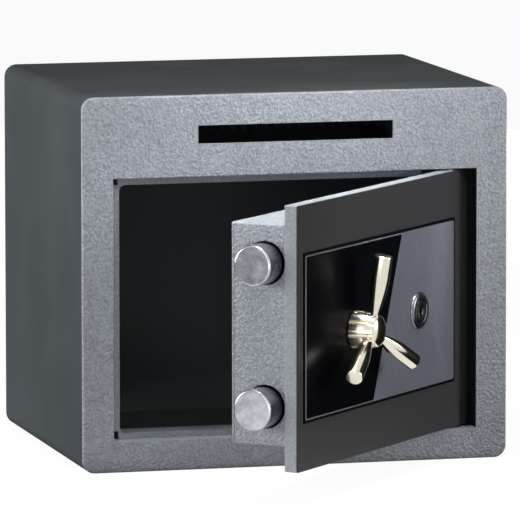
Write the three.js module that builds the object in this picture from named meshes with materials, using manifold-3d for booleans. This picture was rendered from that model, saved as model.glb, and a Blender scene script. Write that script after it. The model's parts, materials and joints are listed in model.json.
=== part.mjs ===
// Deposit safe with a front slot: a wrapped steel cabinet, a hinged door with round
// bolts thrown by a three-spoke handle, and a key lock that blocks the bolt work.
// Millimetres, +Z up, the front faces -Y, origin at the centre of the underside.
// The door pieces are modelled in the closed place and turned open as one group.
import * as THREE from "three";
import { mergeVertices } from "three/addons/utils/BufferGeometryUtils.js";
import Module from "manifold-3d";

const wasm = await Module();
wasm.setup();

// Clearances
const SEAT = 0.3; // a piece against the face that carries it
const FIT = 0.4; // a round piece in its bore, on the radius
const SLIDE = 0.6; // a sliding piece in its guide

// Cabinet
const BODY_W = 350;
const BODY_H = 300;
const BODY_D = 280;
const WALL = 4;
const BEND_R = 10; // outside bends of the wrapper
const BACK_T = 4;
const FACE_T = 3;
const EDGE_R = 1.6; // rounded front and rear edges
const STILE = 25.5; // front frame beside the door opening
const SILL_H = 25;
const HEAD_H = 65; // front frame above the door opening
const OPENING_CHAMFER = 0.8;
const REVEAL_D = 12.5;
const REVEAL_T = 3;

// Door stop behind the opening
const LIP_SIDE = 7.6;
const LIP_TOP = 6.5;
const LIP_BOTTOM = 4.5;
const STOP_T = 3;
const STOP_RETURN = 22;
const STOP_CORNER_R = 5;
const STOP_NOTCH = 6.5;

// Deposit slot and its chute
const SLOT_W = 160;
const SLOT_H = 14.5;
const SLOT_RISE = 26; // slot above the door opening
const CHUTE_T = 2;
const CHUTE_SIDE = 3;
const CHUTE_HEADROOM = 4;
const CHUTE_STEP = 2;
const CHUTE_DROP = 16;
const CHUTE_FLOOR = 74;
const CHUTE_OUTLET = 18;
const CHUTE_FLANGE = 6;
const COMB_AT = 40;
const COMB_T = 1.5;
const COMB_H = 13;
const TOOTH_H = 6;
const TOOTH_PITCH = 9;

// Anchor holes and their plugs, floor mat
const ANCHOR_R = 6;
const BASE_ANCHOR_X = 95;
const BACK_ANCHOR_X = 95;
const BACK_ANCHOR_DROP = 140; // back anchors below the top
const PLUG_HEAD_R = 9;
const PLUG_HEAD_T = 2;
const MAT_T = 3;
const MAT_MARGIN = 3;

// Hinge: pins in the top and bottom edges of the door
const HINGE_INSET = 20.5; // axis to the side of the opening
const HINGE_Y = 7;
const PIN_R = 3.5;
const PIN_IN_DOOR = 18;
const PIN_HEAD_R = 5.5;
const PIN_HEAD_T = 2;
const PIN_CHAMFER = 1;
const BLOCK_W = 18;
const BLOCK_D = 11;
const BLOCK_H = 10;
const WASHER_T = 1.2;
const DOOR_OPEN_DEG = 47.5;

// Door
const GAP_SIDE = 3;
const GAP_END = 1.5;
const DOOR_T = 12;
const FASCIA_T = 1.2;
const DOOR_CHAMFER = 0.8;

// Lock panel on the door
const PANEL_FREE = 10.5; // margin at the free edge
const PANEL_HINGE = 25.5;
const PANEL_END = 39.5; // panel from the top and bottom of the door
const PANEL_PROUD = 1.2;
const PANEL_GROOVE = 2.4;
const PANEL_CORNER_R = 2;
const GASKET_LOW = 0.2; // gasket behind the front of the plate
const GLOSS_RIM = 1;
const GLOSS_T = 1.5;
const SPLIT_TOP = 92; // from the hinge end of the panel to the slanted split
const SPLIT_BOTTOM = 142;

// Pan that holds the bolt work
const PAN_FREE = 14;
const PAN_HINGE = 28.5;
const PAN_END = 17;
const PAN_D = 50.7;
const PAN_T = 2;
const PAN_TAB = 12;
const COVER_T = 2;
const SCREW_R = 2;
const SCREW_HEAD_R = 4;
const SCREW_HEAD_T = 2.4;
const DOG_BEHIND = 6;
const DOG_T = 6;
const DOG_WEB = 3;
const DOG_LEG = 22;
const DOG_END = 33.5; // dog bar from the top and bottom of the door
const DOG_Y = 24;

// Live bolts and the carriage that joins them
const BOLT_R = 16;
const BOLT_HOLE_CLEAR = 1.2;
const BOLT_END = 47.5; // bolt axes from the top and bottom of the door
const BOLT_Y = 36;
const BOLT_OUT = 22;
const BOLT_LEN = 68;
const BOLT_CHAMFER = 1.6;
const BOLT_TRAVEL = 20;
const BAR_T = 5;
const BAR_W = 24;
const BAR_OVER = 14;
const ARM_T = 4;
const ARM_H = 16;
const ARM_REACH = 14; // arm beyond the lock bolt
const ARM_LIFT = 5; // arm above the middle of the yoke
const YOKE_H = 20;
const YOKE_W = 26;
const GUIDE_T = 3;
const GUIDE_AT = 32; // from the bolt side of the pan
const ARM_GUIDE_W = 10;
const ARM_GUIDE_WALL = 4;

// Handle, spindle and crank
const HANDLE_FROM_FREE = 96;
const HANDLE_DROP = 3.5; // handle below the middle of the door
const HANDLE_TURN_DEG = 60;
const HUB_R = 16.2;
const HUB_END_R = 13.6;
const HUB_H = 18.4; // to the foot of the dome
const HUB_DOME = 4;
const HUB_LOBES = 9;
const FLUTE_R = 1.6;
const FLUTE_DEEP = 1;
const SPOKE_COUNT = 3;
const SPOKE_ROOT_R = 3.4;
const SPOKE_CLUB_R = 7.4;
const SPOKE_TIP_R = 7.2;
const SPOKE_TIP_NOSE = 2;
const SPOKE_REACH = 60;
const SPOKE_RISE = 23.4;
const SPOKE_ROOT_RISE = 15.5;
const SPOKE_SWELL = 0.62; // share of the spoke that swells
const SPOKE_SOCKET = 4;
const SPINDLE_R = 5;
const SPINDLE_IN_HUB = 12;
const SPINDLE_FLAT = 7.6; // square end, across flats
const BUSH_WALL = 2;
const BUSH_FLANGE = 3;
const BUSH_FLANGE_T = 2;
const CRANK_Y = 18;
const CRANK_T = 5;
const CRANK_BOSS_R = 11;
const CRANK_EYE_R = 6.5;
const CRANK_PIN_R = 3;
const NUT_AF = 13;
const NUT_T = 4.5;
const SET_SCREW_R = 2.5;

// Key lock
const LOCK_FROM_HINGE = 88.5;
const LOCK_DROP = 1.4;
const ROSETTE_R = 15;
const ROSETTE_H = 2.4;
const PLUG_R = 9;
const PLUG_DEEP = 9; // plug behind the door plate
const PLUG_RECESS = 0.5;
const KEYWAY_W = 2.6;
const KEYWAY_H = 9;
const KEYWAY_DEEP = 10;
const LOCK_W = 44;
const LOCK_H = 42;
const LOCK_D = 22;
const LOCK_BOLT_W = 12;
const LOCK_BOLT_T = 6;
const LOCK_BOLT_LEN = 28;
const LOCK_THROW = 9;
const KEY_TURN_DEG = 90;
const CAM_PIN_R = 1.5;
const CAM_PLAY = 0.5;
const CAM_SLOT_DEEP = 4;
const LOCK_GAP = 2; // withdrawn lock bolt to the arm
const NOTCH_H = 8.5;
const NOTCH_PLAY = 1;

// Facets round a circle
const FINE = 48;
const ROUND = 24;
const SMALL = 16;
const FLUTE_FACETS = 8;

// Places worked out from the sizes, in the closed place of the door
const OPENING_W = BODY_W - 2 * STILE;
const OPEN_X0 = -OPENING_W / 2;
const OPEN_X1 = OPENING_W / 2;
const OPEN_Z0 = SILL_H;
const OPEN_Z1 = BODY_H - HEAD_H;
const SLOT_Z0 = OPEN_Z1 + SLOT_RISE;
const SLOT_Z1 = SLOT_Z0 + SLOT_H;
const HINGE_X = OPEN_X1 - HINGE_INSET;
const DOOR_X0 = OPEN_X0 + GAP_SIDE;
const DOOR_X1 = OPEN_X1 - GAP_SIDE;
const DOOR_Z0 = OPEN_Z0 + GAP_END;
const DOOR_Z1 = OPEN_Z1 - GAP_END;
const DOOR_MID_Z = (DOOR_Z0 + DOOR_Z1) / 2;
const PLATE_Y0 = FASCIA_T + SEAT;
const STOP_Y = REVEAL_D;
const HINGE_SWEEP = Math.hypot(DOOR_X1 - HINGE_X, Math.max(HINGE_Y, DOOR_T - HINGE_Y));
const STOP_END = HINGE_X - HINGE_SWEEP - GAP_SIDE;
const PAN_X0 = DOOR_X0 + PAN_FREE;
const PAN_X1 = DOOR_X1 - PAN_HINGE;
const PAN_Z0 = DOOR_Z0 + PAN_END;
const PAN_Z1 = DOOR_Z1 - PAN_END;
const PAN_Y0 = DOOR_T + SEAT;
const PAN_Y1 = PAN_Y0 + PAN_D;
const PANEL_X0 = DOOR_X0 + PANEL_FREE;
const PANEL_X1 = DOOR_X1 - PANEL_HINGE;
const PANEL_Z0 = DOOR_Z0 + PANEL_END;
const PANEL_Z1 = DOOR_Z1 - PANEL_END;
const HANDLE_X = DOOR_X0 + HANDLE_FROM_FREE;
const HANDLE_Z = DOOR_MID_Z - HANDLE_DROP;
const LOCK_X = DOOR_X1 - LOCK_FROM_HINGE;
const LOCK_Z = DOOR_MID_Z - LOCK_DROP;
const HUB_Y1 = -PANEL_PROUD - SEAT;
const HUB_Y0 = HUB_Y1 - HUB_H;
const CRANK_R = BOLT_TRAVEL / (2 * Math.sin(THREE.MathUtils.degToRad(HANDLE_TURN_DEG / 2)));
const ARM_Y0 = CRANK_Y + CRANK_T + SEAT * 3;
const ARM_Y1 = ARM_Y0 + ARM_T;
const BOLT_TIP_X = PAN_X0 - BOLT_OUT;
const BAR_X0 = BOLT_TIP_X + BOLT_LEN + SEAT;
const BAR_X1 = BAR_X0 + BAR_T;
const PIN_LOW_Z = CRANK_R * Math.cos(THREE.MathUtils.degToRad(HANDLE_TURN_DEG / 2));
const YOKE_MID_Z = HANDLE_Z + (PIN_LOW_Z + CRANK_R) / 2;
const ARM_Z0 = YOKE_MID_Z - ARM_H / 2 + ARM_LIFT;
const ARM_Z1 = ARM_Z0 + ARM_H;
const ARM_X1 = LOCK_X + LOCK_BOLT_W / 2 + ARM_REACH;
const CAM_R = LOCK_THROW / (2 * Math.sin(THREE.MathUtils.degToRad(KEY_TURN_DEG / 2)));
const BOLT_ZS = { lower: DOOR_Z0 + BOLT_END, upper: DOOR_Z1 - BOLT_END };
const BACK_ANCHOR_Z = BODY_H - BACK_ANCHOR_DROP;

// Finishes
function finish(color, roughness, metalness) {
  return new THREE.MeshStandardMaterial({ color, roughness, metalness });
}
const bodyPaint = finish(0x4a5052, 0.45, 0.1);
const hammerPaint = finish(0x9a9ea2, 0.5, 0.4);
const fasciaPaint = finish(0x3c3c3e, 0.5, 0.1);
const panelSilver = finish(0x77798a, 0.35, 0.6);
const blackGloss = finish(0x08090c, 0.06, 0.0);
const chrome = finish(0xd8d6d0, 0.12, 1.0);
const zinc = finish(0xa8aaac, 0.35, 1.0);
const steel = finish(0x8c8f92, 0.4, 0.9);
const brass = finish(0xb08d4a, 0.35, 1.0);
const blackPlastic = finish(0x16171a, 0.6, 0.0);
const matFelt = finish(0x1d1e20, 0.95, 0.0);

// A closed solid from a three.js geometry, turned outwards if it came out reversed
function solid(geometry) {
  const bare = geometry.clone();
  bare.deleteAttribute("normal");
  bare.deleteAttribute("uv");
  const merged = mergeVertices(bare, 1e-5);
  const vertProperties = new Float32Array(merged.getAttribute("position").array);
  const triVerts = new Uint32Array(merged.index.array);
  const made = new wasm.Manifold(new wasm.Mesh({ numProp: 3, vertProperties, triVerts }));
  if (made.volume() > 0) return made;
  for (let i = 0; i < triVerts.length; i += 3) {
    const swap = triVerts[i];
    triVerts[i] = triVerts[i + 1];
    triVerts[i + 1] = swap;
  }
  return new wasm.Manifold(new wasm.Mesh({ numProp: 3, vertProperties, triVerts }));
}

function joined(...pieces) {
  return pieces.reduce((whole, piece) => whole.add(piece));
}

function cut(body, ...tools) {
  return tools.reduce((left, tool) => left.subtract(tool), body);
}

// A named mesh of a solid in its parent's frame
function part(parent, name, body, material) {
  const { vertProperties, triVerts } = body.getMesh();
  const geometry = new THREE.BufferGeometry();
  geometry.setAttribute("position", new THREE.BufferAttribute(new Float32Array(vertProperties), 3));
  geometry.setIndex(new THREE.BufferAttribute(new Uint32Array(triVerts), 1));
  geometry.computeVertexNormals();
  const mesh = new THREE.Mesh(geometry, material);
  mesh.name = name;
  parent.add(mesh);
  return mesh;
}

function box(x0, x1, y0, y1, z0, z1) {
  const geometry = new THREE.BoxGeometry(x1 - x0, y1 - y0, z1 - z0);
  geometry.translate((x0 + x1) / 2, (y0 + y1) / 2, (z0 + z1) / 2);
  return solid(geometry);
}

// A flat outline in x and z
function rectOutline(x0, x1, z0, z1, radius = 0) {
  const shape = new THREE.Shape();
  if (radius <= 0) {
    shape.moveTo(x0, z0);
    shape.lineTo(x1, z0);
    shape.lineTo(x1, z1);
    shape.lineTo(x0, z1);
    shape.closePath();
    return shape;
  }
  shape.moveTo(x0 + radius, z0);
  shape.lineTo(x1 - radius, z0);
  shape.absarc(x1 - radius, z0 + radius, radius, -Math.PI / 2, 0, false);
  shape.lineTo(x1, z1 - radius);
  shape.absarc(x1 - radius, z1 - radius, radius, 0, Math.PI / 2, false);
  shape.lineTo(x0 + radius, z1);
  shape.absarc(x0 + radius, z1 - radius, radius, Math.PI / 2, Math.PI, false);
  shape.lineTo(x0, z0 + radius);
  shape.absarc(x0 + radius, z0 + radius, radius, Math.PI, Math.PI * 1.5, false);
  return shape;
}

// An outline in x and z swept from y0 to y1, with both ends rounded by bevel
function plateY(shape, y0, y1, bevel = 0, bevelSegments = 3, curveSegments = 6) {
  const deep = y1 - y0 - 2 * bevel;
  const geometry = new THREE.ExtrudeGeometry(shape, {
    depth: deep,
    curveSegments,
    bevelEnabled: bevel > 0,
    bevelThickness: bevel,
    bevelSize: bevel,
    bevelOffset: -bevel,
    bevelSegments,
  });
  const at = geometry.getAttribute("position");
  for (let i = 0; i < at.count; i += 1) {
    const share = (at.getZ(i) + bevel) / (y1 - y0);
    at.setXYZ(i, at.getX(i), y1 - share * (y1 - y0), at.getY(i));
  }
  return solid(geometry);
}

// A profile in y and z swept from x0 to x1
function sweepX(points, x0, x1) {
  const shape = new THREE.Shape(points.map(([y, z]) => new THREE.Vector2(y, z)));
  const geometry = new THREE.ExtrudeGeometry(shape, { depth: x1 - x0, bevelEnabled: false });
  const turn = new THREE.Matrix4().makeBasis(
    new THREE.Vector3(0, 1, 0),
    new THREE.Vector3(0, 0, 1),
    new THREE.Vector3(1, 0, 0),
  );
  geometry.applyMatrix4(turn);
  geometry.translate(x0, 0, 0);
  return solid(geometry);
}

const AXES = { x: [0, 0, -Math.PI / 2], y: [0, 0, 0], z: [Math.PI / 2, 0, 0] };

// A turned piece: pairs of radius and place along the axis, from end to end
function turned(points, axis, at, facets = ROUND) {
  const profile = points.map(([radius, along]) => new THREE.Vector2(radius, along));
  const geometry = new THREE.LatheGeometry(profile, facets);
  geometry.applyMatrix4(new THREE.Matrix4().makeRotationFromEuler(new THREE.Euler(...AXES[axis])));
  geometry.translate(...at);
  return solid(geometry);
}

function rod(radius, from, to, axis, at, facets = ROUND) {
  return turned([[0, from], [radius, from], [radius, to], [0, to]], axis, at, facets);
}

// A square-edged pan-head screw along an axis, its head under face at "from"
function screw(headAt, headEnd, tipAt, axis, at) {
  const profile = [[0, headEnd], [SCREW_HEAD_R, headEnd], [SCREW_HEAD_R, headAt]];
  profile.push([SCREW_R, headAt], [SCREW_R, tipAt], [0, tipAt]);
  return turned(profile, axis, at, SMALL);
}

function rounded(radius, from, to, round, steps = 4) {
  const way = Math.sign(to - from);
  const points = [];
  for (let i = 0; i <= steps; i += 1) {
    const angle = (Math.PI / 2) * (i / steps);
    points.push([radius - round + round * Math.cos(angle), to - way * round * (1 - Math.sin(angle))]);
  }
  return points;
}

// Cabinet

function addCabinet(safe) {
  const outline = () => rectOutline(-BODY_W / 2, BODY_W / 2, 0, BODY_H, BEND_R);
  const insideR = Math.max(BEND_R - WALL, 1);
  const baseAnchors = [-BASE_ANCHOR_X, BASE_ANCHOR_X].map((x) => [x, BODY_D / 2]);
  const backAnchors = [-BACK_ANCHOR_X, BACK_ANCHOR_X].map((x) => [x, BACK_ANCHOR_Z]);

  const ring = outline();
  ring.holes.push(rectOutline(-BODY_W / 2 + WALL, BODY_W / 2 - WALL, WALL, BODY_H - WALL, insideR));
  const wrap = plateY(ring, FACE_T, BODY_D - BACK_T);
  const floorHoles = baseAnchors.map(([x, y]) => rod(ANCHOR_R, -1, WALL + 1, "z", [x, y, 0]));
  part(safe, "body_wrap", cut(wrap, ...floorHoles), bodyPaint);

  const slab = plateY(outline(), BODY_D - 2 * BACK_T, BODY_D, EDGE_R);
  const inFront = box(-BODY_W, BODY_W, 0, BODY_D - BACK_T, -1, BODY_H + 1);
  const backHoles = backAnchors.map(([x, z]) => rod(ANCHOR_R, BODY_D - BACK_T - 1, BODY_D + 1, "y", [x, 0, z]));
  part(safe, "back_plate", cut(slab, inFront, ...backHoles), bodyPaint);

  const face = cut(plateY(outline(), 0, 2 * FACE_T, EDGE_R), box(-BODY_W, BODY_W, FACE_T, BODY_D, -1, BODY_H + 1));
  const reveal = box(
    OPEN_X0 - REVEAL_T, OPEN_X1 + REVEAL_T, FACE_T / 2, REVEAL_D, OPEN_Z0 - REVEAL_T, OPEN_Z1 + REVEAL_T,
  );
  const opening = box(OPEN_X0, OPEN_X1, -1, REVEAL_D + 1, OPEN_Z0, OPEN_Z1);
  const grow = OPENING_CHAMFER;
  const flare = plateY(
    rectOutline(OPEN_X0 - 2 * grow, OPEN_X1 + 2 * grow, OPEN_Z0 - 2 * grow, OPEN_Z1 + 2 * grow),
    -4 * grow, grow, 2 * grow, 1,
  );
  const slot = box(-SLOT_W / 2, SLOT_W / 2, -1, FACE_T + 1, SLOT_Z0, SLOT_Z1);
  const pinHole = rod(PIN_R + FIT, 0, BODY_H, "z", [HINGE_X, HINGE_Y, 0]);
  const belowFace = box(-BODY_W, BODY_W, -1, FACE_T, -1, BODY_H + 1);
  const frame = cut(joined(face, reveal), opening, flare, slot, cut(pinHole, belowFace));
  part(safe, "front_frame", frame, hammerPaint);

  addDoorStop(safe);
  addChute(safe);

  const matX = BODY_W / 2 - WALL - insideR - MAT_MARGIN;
  const mat = box(-matX, matX, REVEAL_D, BODY_D - BACK_T - MAT_MARGIN, WALL, WALL + MAT_T);
  const matHoles = baseAnchors.map(([x, y]) => rod(PLUG_HEAD_R + 1, 0, WALL + MAT_T + 1, "z", [x, y, 0]));
  part(safe, "floor_mat", cut(mat, ...matHoles), matFelt);

  const sides = ["left", "right"];
  const stemR = ANCHOR_R - SEAT;
  baseAnchors.forEach(([x, y], i) => {
    const head = WALL + PLUG_HEAD_T;
    const profile = [[0, SEAT], [stemR, SEAT], [stemR, WALL], [PLUG_HEAD_R, WALL], [PLUG_HEAD_R, head], [0, head]];
    part(safe, `base_anchor_plug_${sides[i]}`, turned(profile, "z", [x, y, 0], SMALL), blackPlastic);
  });
  backAnchors.forEach(([x, z], i) => {
    const inner = BODY_D - BACK_T;
    const tail = BODY_D - SEAT;
    const head = inner - PLUG_HEAD_T;
    const profile = [[0, head], [PLUG_HEAD_R, head], [PLUG_HEAD_R, inner], [stemR, inner], [stemR, tail], [0, tail]];
    part(safe, `back_anchor_plug_${sides[i]}`, turned(profile, "y", [x, 0, z], SMALL), blackPlastic);
  });

  addHingeHalf(safe, "bottom", OPEN_Z0, 1);
  addHingeHalf(safe, "top", OPEN_Z1, -1);
  const washerTop = OPEN_Z0 + WASHER_T;
  const ringProfile = [[PIN_R + FIT, OPEN_Z0], [PIN_HEAD_R, OPEN_Z0], [PIN_HEAD_R, washerTop]];
  ringProfile.push([PIN_R + FIT, washerTop], [PIN_R + FIT, OPEN_Z0]);
  part(safe, "thrust_washer", turned(ringProfile, "z", [HINGE_X, HINGE_Y, 0], ROUND), brass);
}

// A flange round three sides of the opening, clear of the swing at the hinge side
function addDoorStop(safe) {
  const y1 = STOP_Y + STOP_T;
  const outer = rectOutline(OPEN_X0 - REVEAL_T, OPEN_X1, OPEN_Z0 - REVEAL_T, OPEN_Z1 + REVEAL_T);
  const lowZ = OPEN_Z0 + LIP_BOTTOM;
  const highZ = OPEN_Z1 - LIP_TOP;
  outer.holes.push(rectOutline(OPEN_X0 + LIP_SIDE, OPEN_X1 - LIP_SIDE, lowZ, highZ, STOP_CORNER_R));
  const lip = plateY(outer, STOP_Y, y1);
  const returnX0 = OPEN_X0 + LIP_SIDE + STOP_CORNER_R;
  const returns = [
    box(returnX0, STOP_END, STOP_Y, y1 + STOP_RETURN, lowZ - STOP_T, lowZ),
    box(returnX0, STOP_END, STOP_Y, y1 + STOP_RETURN, highZ, highZ + STOP_T),
  ];
  const hingeSide = box(STOP_END, OPEN_X1 + 1, 0, BODY_D, 0, BODY_H);
  const notches = [OPEN_Z0, OPEN_Z1 - STOP_NOTCH].map((z) =>
    box(OPEN_X0, OPEN_X0 + STOP_NOTCH, STOP_Y - 1, y1 + 1, z, z + STOP_NOTCH));
  part(safe, "door_stop", cut(joined(lip, ...returns), hingeSide, ...notches), hammerPaint);
}

// A folded chute from the slot to behind the door, with a toothed comb against fishing
function addChute(safe) {
  const half = SLOT_W / 2 + CHUTE_SIDE;
  const floor0 = SLOT_Z0 - CHUTE_STEP;
  const floor1 = floor0 - CHUTE_DROP;
  const roof = SLOT_Z1 + CHUTE_HEADROOM;
  const lipY = CHUTE_FLOOR;
  const endY = CHUTE_FLOOR + CHUTE_OUTLET;
  const skin = CHUTE_T;
  const shell = sweepX([
    [FACE_T, floor0 - skin], [lipY, floor1 - skin], [endY + skin, floor1 - skin],
    [endY + skin, roof + skin], [FACE_T, roof + skin],
  ], -half - skin, half + skin);
  const flange = box(
    -half - skin - CHUTE_FLANGE, half + skin + CHUTE_FLANGE, FACE_T, FACE_T + skin,
    floor0 - skin - CHUTE_FLANGE, roof + skin + CHUTE_FLANGE,
  );
  const hollow = sweepX([
    [0, floor0], [FACE_T, floor0], [lipY, floor1], [lipY, floor1 - 2 * skin],
    [endY, floor1 - 2 * skin], [endY, roof], [0, roof],
  ], -half, half);
  part(safe, "deposit_chute", cut(joined(shell, flange), hollow), steel);

  const comb = new THREE.Shape();
  const x0 = -half + SEAT;
  const x1 = half - SEAT;
  const top = roof - SEAT;
  const teeth = Math.floor((x1 - x0) / TOOTH_PITCH);
  const pitch = (x1 - x0) / teeth;
  comb.moveTo(x0, top);
  comb.lineTo(x0, top - COMB_H + TOOTH_H);
  for (let i = 0; i < teeth; i += 1) {
    comb.lineTo(x0 + pitch * (i + 0.5), top - COMB_H);
    comb.lineTo(x0 + pitch * (i + 1), top - COMB_H + TOOTH_H);
  }
  comb.lineTo(x1, top);
  part(safe, "anti_fish_comb", plateY(comb, COMB_AT, COMB_AT + COMB_T), steel);
}

// The block behind the frame and the pin through it; way is +1 up into the door
function addHingeHalf(safe, side, edgeZ, way) {
  const near = edgeZ - way * REVEAL_T;
  const far = near - way * BLOCK_H;
  const block = box(
    HINGE_X - BLOCK_W / 2, HINGE_X + BLOCK_W / 2, FACE_T, FACE_T + BLOCK_D, Math.min(near, far), Math.max(near, far),
  );
  const bore = rod(PIN_R + FIT, 0, BODY_H, "z", [HINGE_X, HINGE_Y, 0]);
  part(safe, `hinge_block_${side}`, cut(block, bore), steel);

  const headEnd = far - way * PIN_HEAD_T;
  const tip = edgeZ + way * (GAP_END + PIN_IN_DOOR);
  const profile = [[0, headEnd], [PIN_HEAD_R, headEnd], [PIN_HEAD_R, far], [PIN_R, far]];
  profile.push([PIN_R, tip - way * PIN_CHAMFER], [PIN_R - PIN_CHAMFER, tip], [0, tip]);
  const headFlat = box(-BODY_W, BODY_W, -BODY_D, FACE_T + SEAT, 0, BODY_H);
  part(safe, `hinge_pin_${side}`, cut(turned(profile, "z", [HINGE_X, HINGE_Y, 0]), headFlat), steel);
}

// Door

function addDoor(door) {
  const boreY = [PLATE_Y0 - 1, DOOR_T + 1];
  const plate = plateY(rectOutline(DOOR_X0, DOOR_X1, DOOR_Z0, DOOR_Z1), PLATE_Y0, DOOR_T, DOOR_CHAMFER, 1);
  const pinBores = [
    rod(PIN_R + FIT, DOOR_Z0 - 1, DOOR_Z0 + PIN_IN_DOOR + 1, "z", [HINGE_X, HINGE_Y, 0]),
    rod(PIN_R + FIT, DOOR_Z1 - PIN_IN_DOOR - 1, DOOR_Z1 + 1, "z", [HINGE_X, HINGE_Y, 0]),
  ];
  const bushR = SPINDLE_R + FIT + BUSH_WALL;
  const spindleBore = rod(bushR + SEAT, ...boreY, "y", [HANDLE_X, 0, HANDLE_Z]);
  const lockBore = rod(PLUG_R + FIT, ...boreY, "y", [LOCK_X, 0, LOCK_Z]);
  part(door, "door_plate", cut(plate, ...pinBores, spindleBore, lockBore), hammerPaint);

  const skin = plateY(rectOutline(DOOR_X0, DOOR_X1, DOOR_Z0, DOOR_Z1), 0, FASCIA_T);
  const panelHole = box(
    PANEL_X0 - PANEL_GROOVE, PANEL_X1 + PANEL_GROOVE, -1, FASCIA_T + 1,
    PANEL_Z0 - PANEL_GROOVE, PANEL_Z1 + PANEL_GROOVE,
  );
  part(door, "door_fascia", cut(skin, panelHole), fasciaPaint);

  addLockPanel(door);

  const bushEnd = DOOR_T + SEAT + BUSH_FLANGE_T;
  const inner = SPINDLE_R + FIT;
  const flangeR = bushR + BUSH_FLANGE;
  const flangeY = DOOR_T + SEAT;
  part(door, "spindle_bush", turned([
    [inner, PLATE_Y0], [bushR, PLATE_Y0], [bushR, flangeY], [flangeR, flangeY],
    [flangeR, bushEnd], [inner, bushEnd], [inner, PLATE_Y0],
  ], "y", [HANDLE_X, 0, HANDLE_Z]), brass);

  addPan(door);
  addGuides(door);
  addLockCase(door);
}

function addLockPanel(door) {
  const face = -PANEL_PROUD;
  const seat = PLATE_Y0 - SEAT;
  const base = plateY(rectOutline(PANEL_X0, PANEL_X1, PANEL_Z0, PANEL_Z1, PANEL_CORNER_R), face, seat, 0.5, 1, 3);
  const split = (z) => PANEL_X1 - SPLIT_BOTTOM + (SPLIT_BOTTOM - SPLIT_TOP) * ((z - PANEL_Z0) / (PANEL_Z1 - PANEL_Z0));
  const gloss = (shrink) => {
    const x0 = PANEL_X0 + GLOSS_RIM + shrink;
    const z0 = PANEL_Z0 + GLOSS_RIM + shrink;
    const z1 = PANEL_Z1 - GLOSS_RIM - shrink;
    const shape = new THREE.Shape();
    shape.moveTo(x0, z0);
    shape.lineTo(split(z0) - shrink, z0);
    shape.lineTo(split(z1) - shrink, z1);
    shape.lineTo(x0, z1);
    shape.closePath();
    return shape;
  };
  const gasket = rectOutline(
    PANEL_X0 - PANEL_GROOVE + SEAT, PANEL_X1 + PANEL_GROOVE - SEAT,
    PANEL_Z0 - PANEL_GROOVE + SEAT, PANEL_Z1 + PANEL_GROOVE - SEAT,
  );
  gasket.holes.push(rectOutline(
    PANEL_X0 - SEAT, PANEL_X1 + SEAT, PANEL_Z0 - SEAT, PANEL_Z1 + SEAT, PANEL_CORNER_R + SEAT,
  ));
  part(door, "panel_gasket", plateY(gasket, face + GASKET_LOW, seat, 0, 1, 2), blackPlastic);

  const handleHole = rod(SPINDLE_R + 2 * FIT, face - 1, DOOR_T, "y", [HANDLE_X, 0, HANDLE_Z]);
  const lockHole = rod(PLUG_R + FIT, face - 1, DOOR_T, "y", [LOCK_X, 0, LOCK_Z]);
  const pocket = plateY(gloss(0), face - 1, face + GLOSS_T + SEAT);
  part(door, "escutcheon_base", cut(base, pocket, handleHole, lockHole), panelSilver);
  part(door, "gloss_panel", cut(plateY(gloss(SEAT), face, face + GLOSS_T), handleHole), blackGloss);

  const rim = face - SEAT;
  const crown = rim - ROSETTE_H;
  const bore = PLUG_R + FIT;
  const rounding = 1.2;
  part(door, "lock_rosette", turned([
    [bore, rim], [bore, crown + 0.4], [bore + 1.5, crown], [ROSETTE_R - rounding - 1, crown],
    [ROSETTE_R - 0.5, crown + rounding], [ROSETTE_R, rim], [bore, rim],
  ], "y", [LOCK_X, 0, LOCK_Z], FINE), chrome);
}

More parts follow.
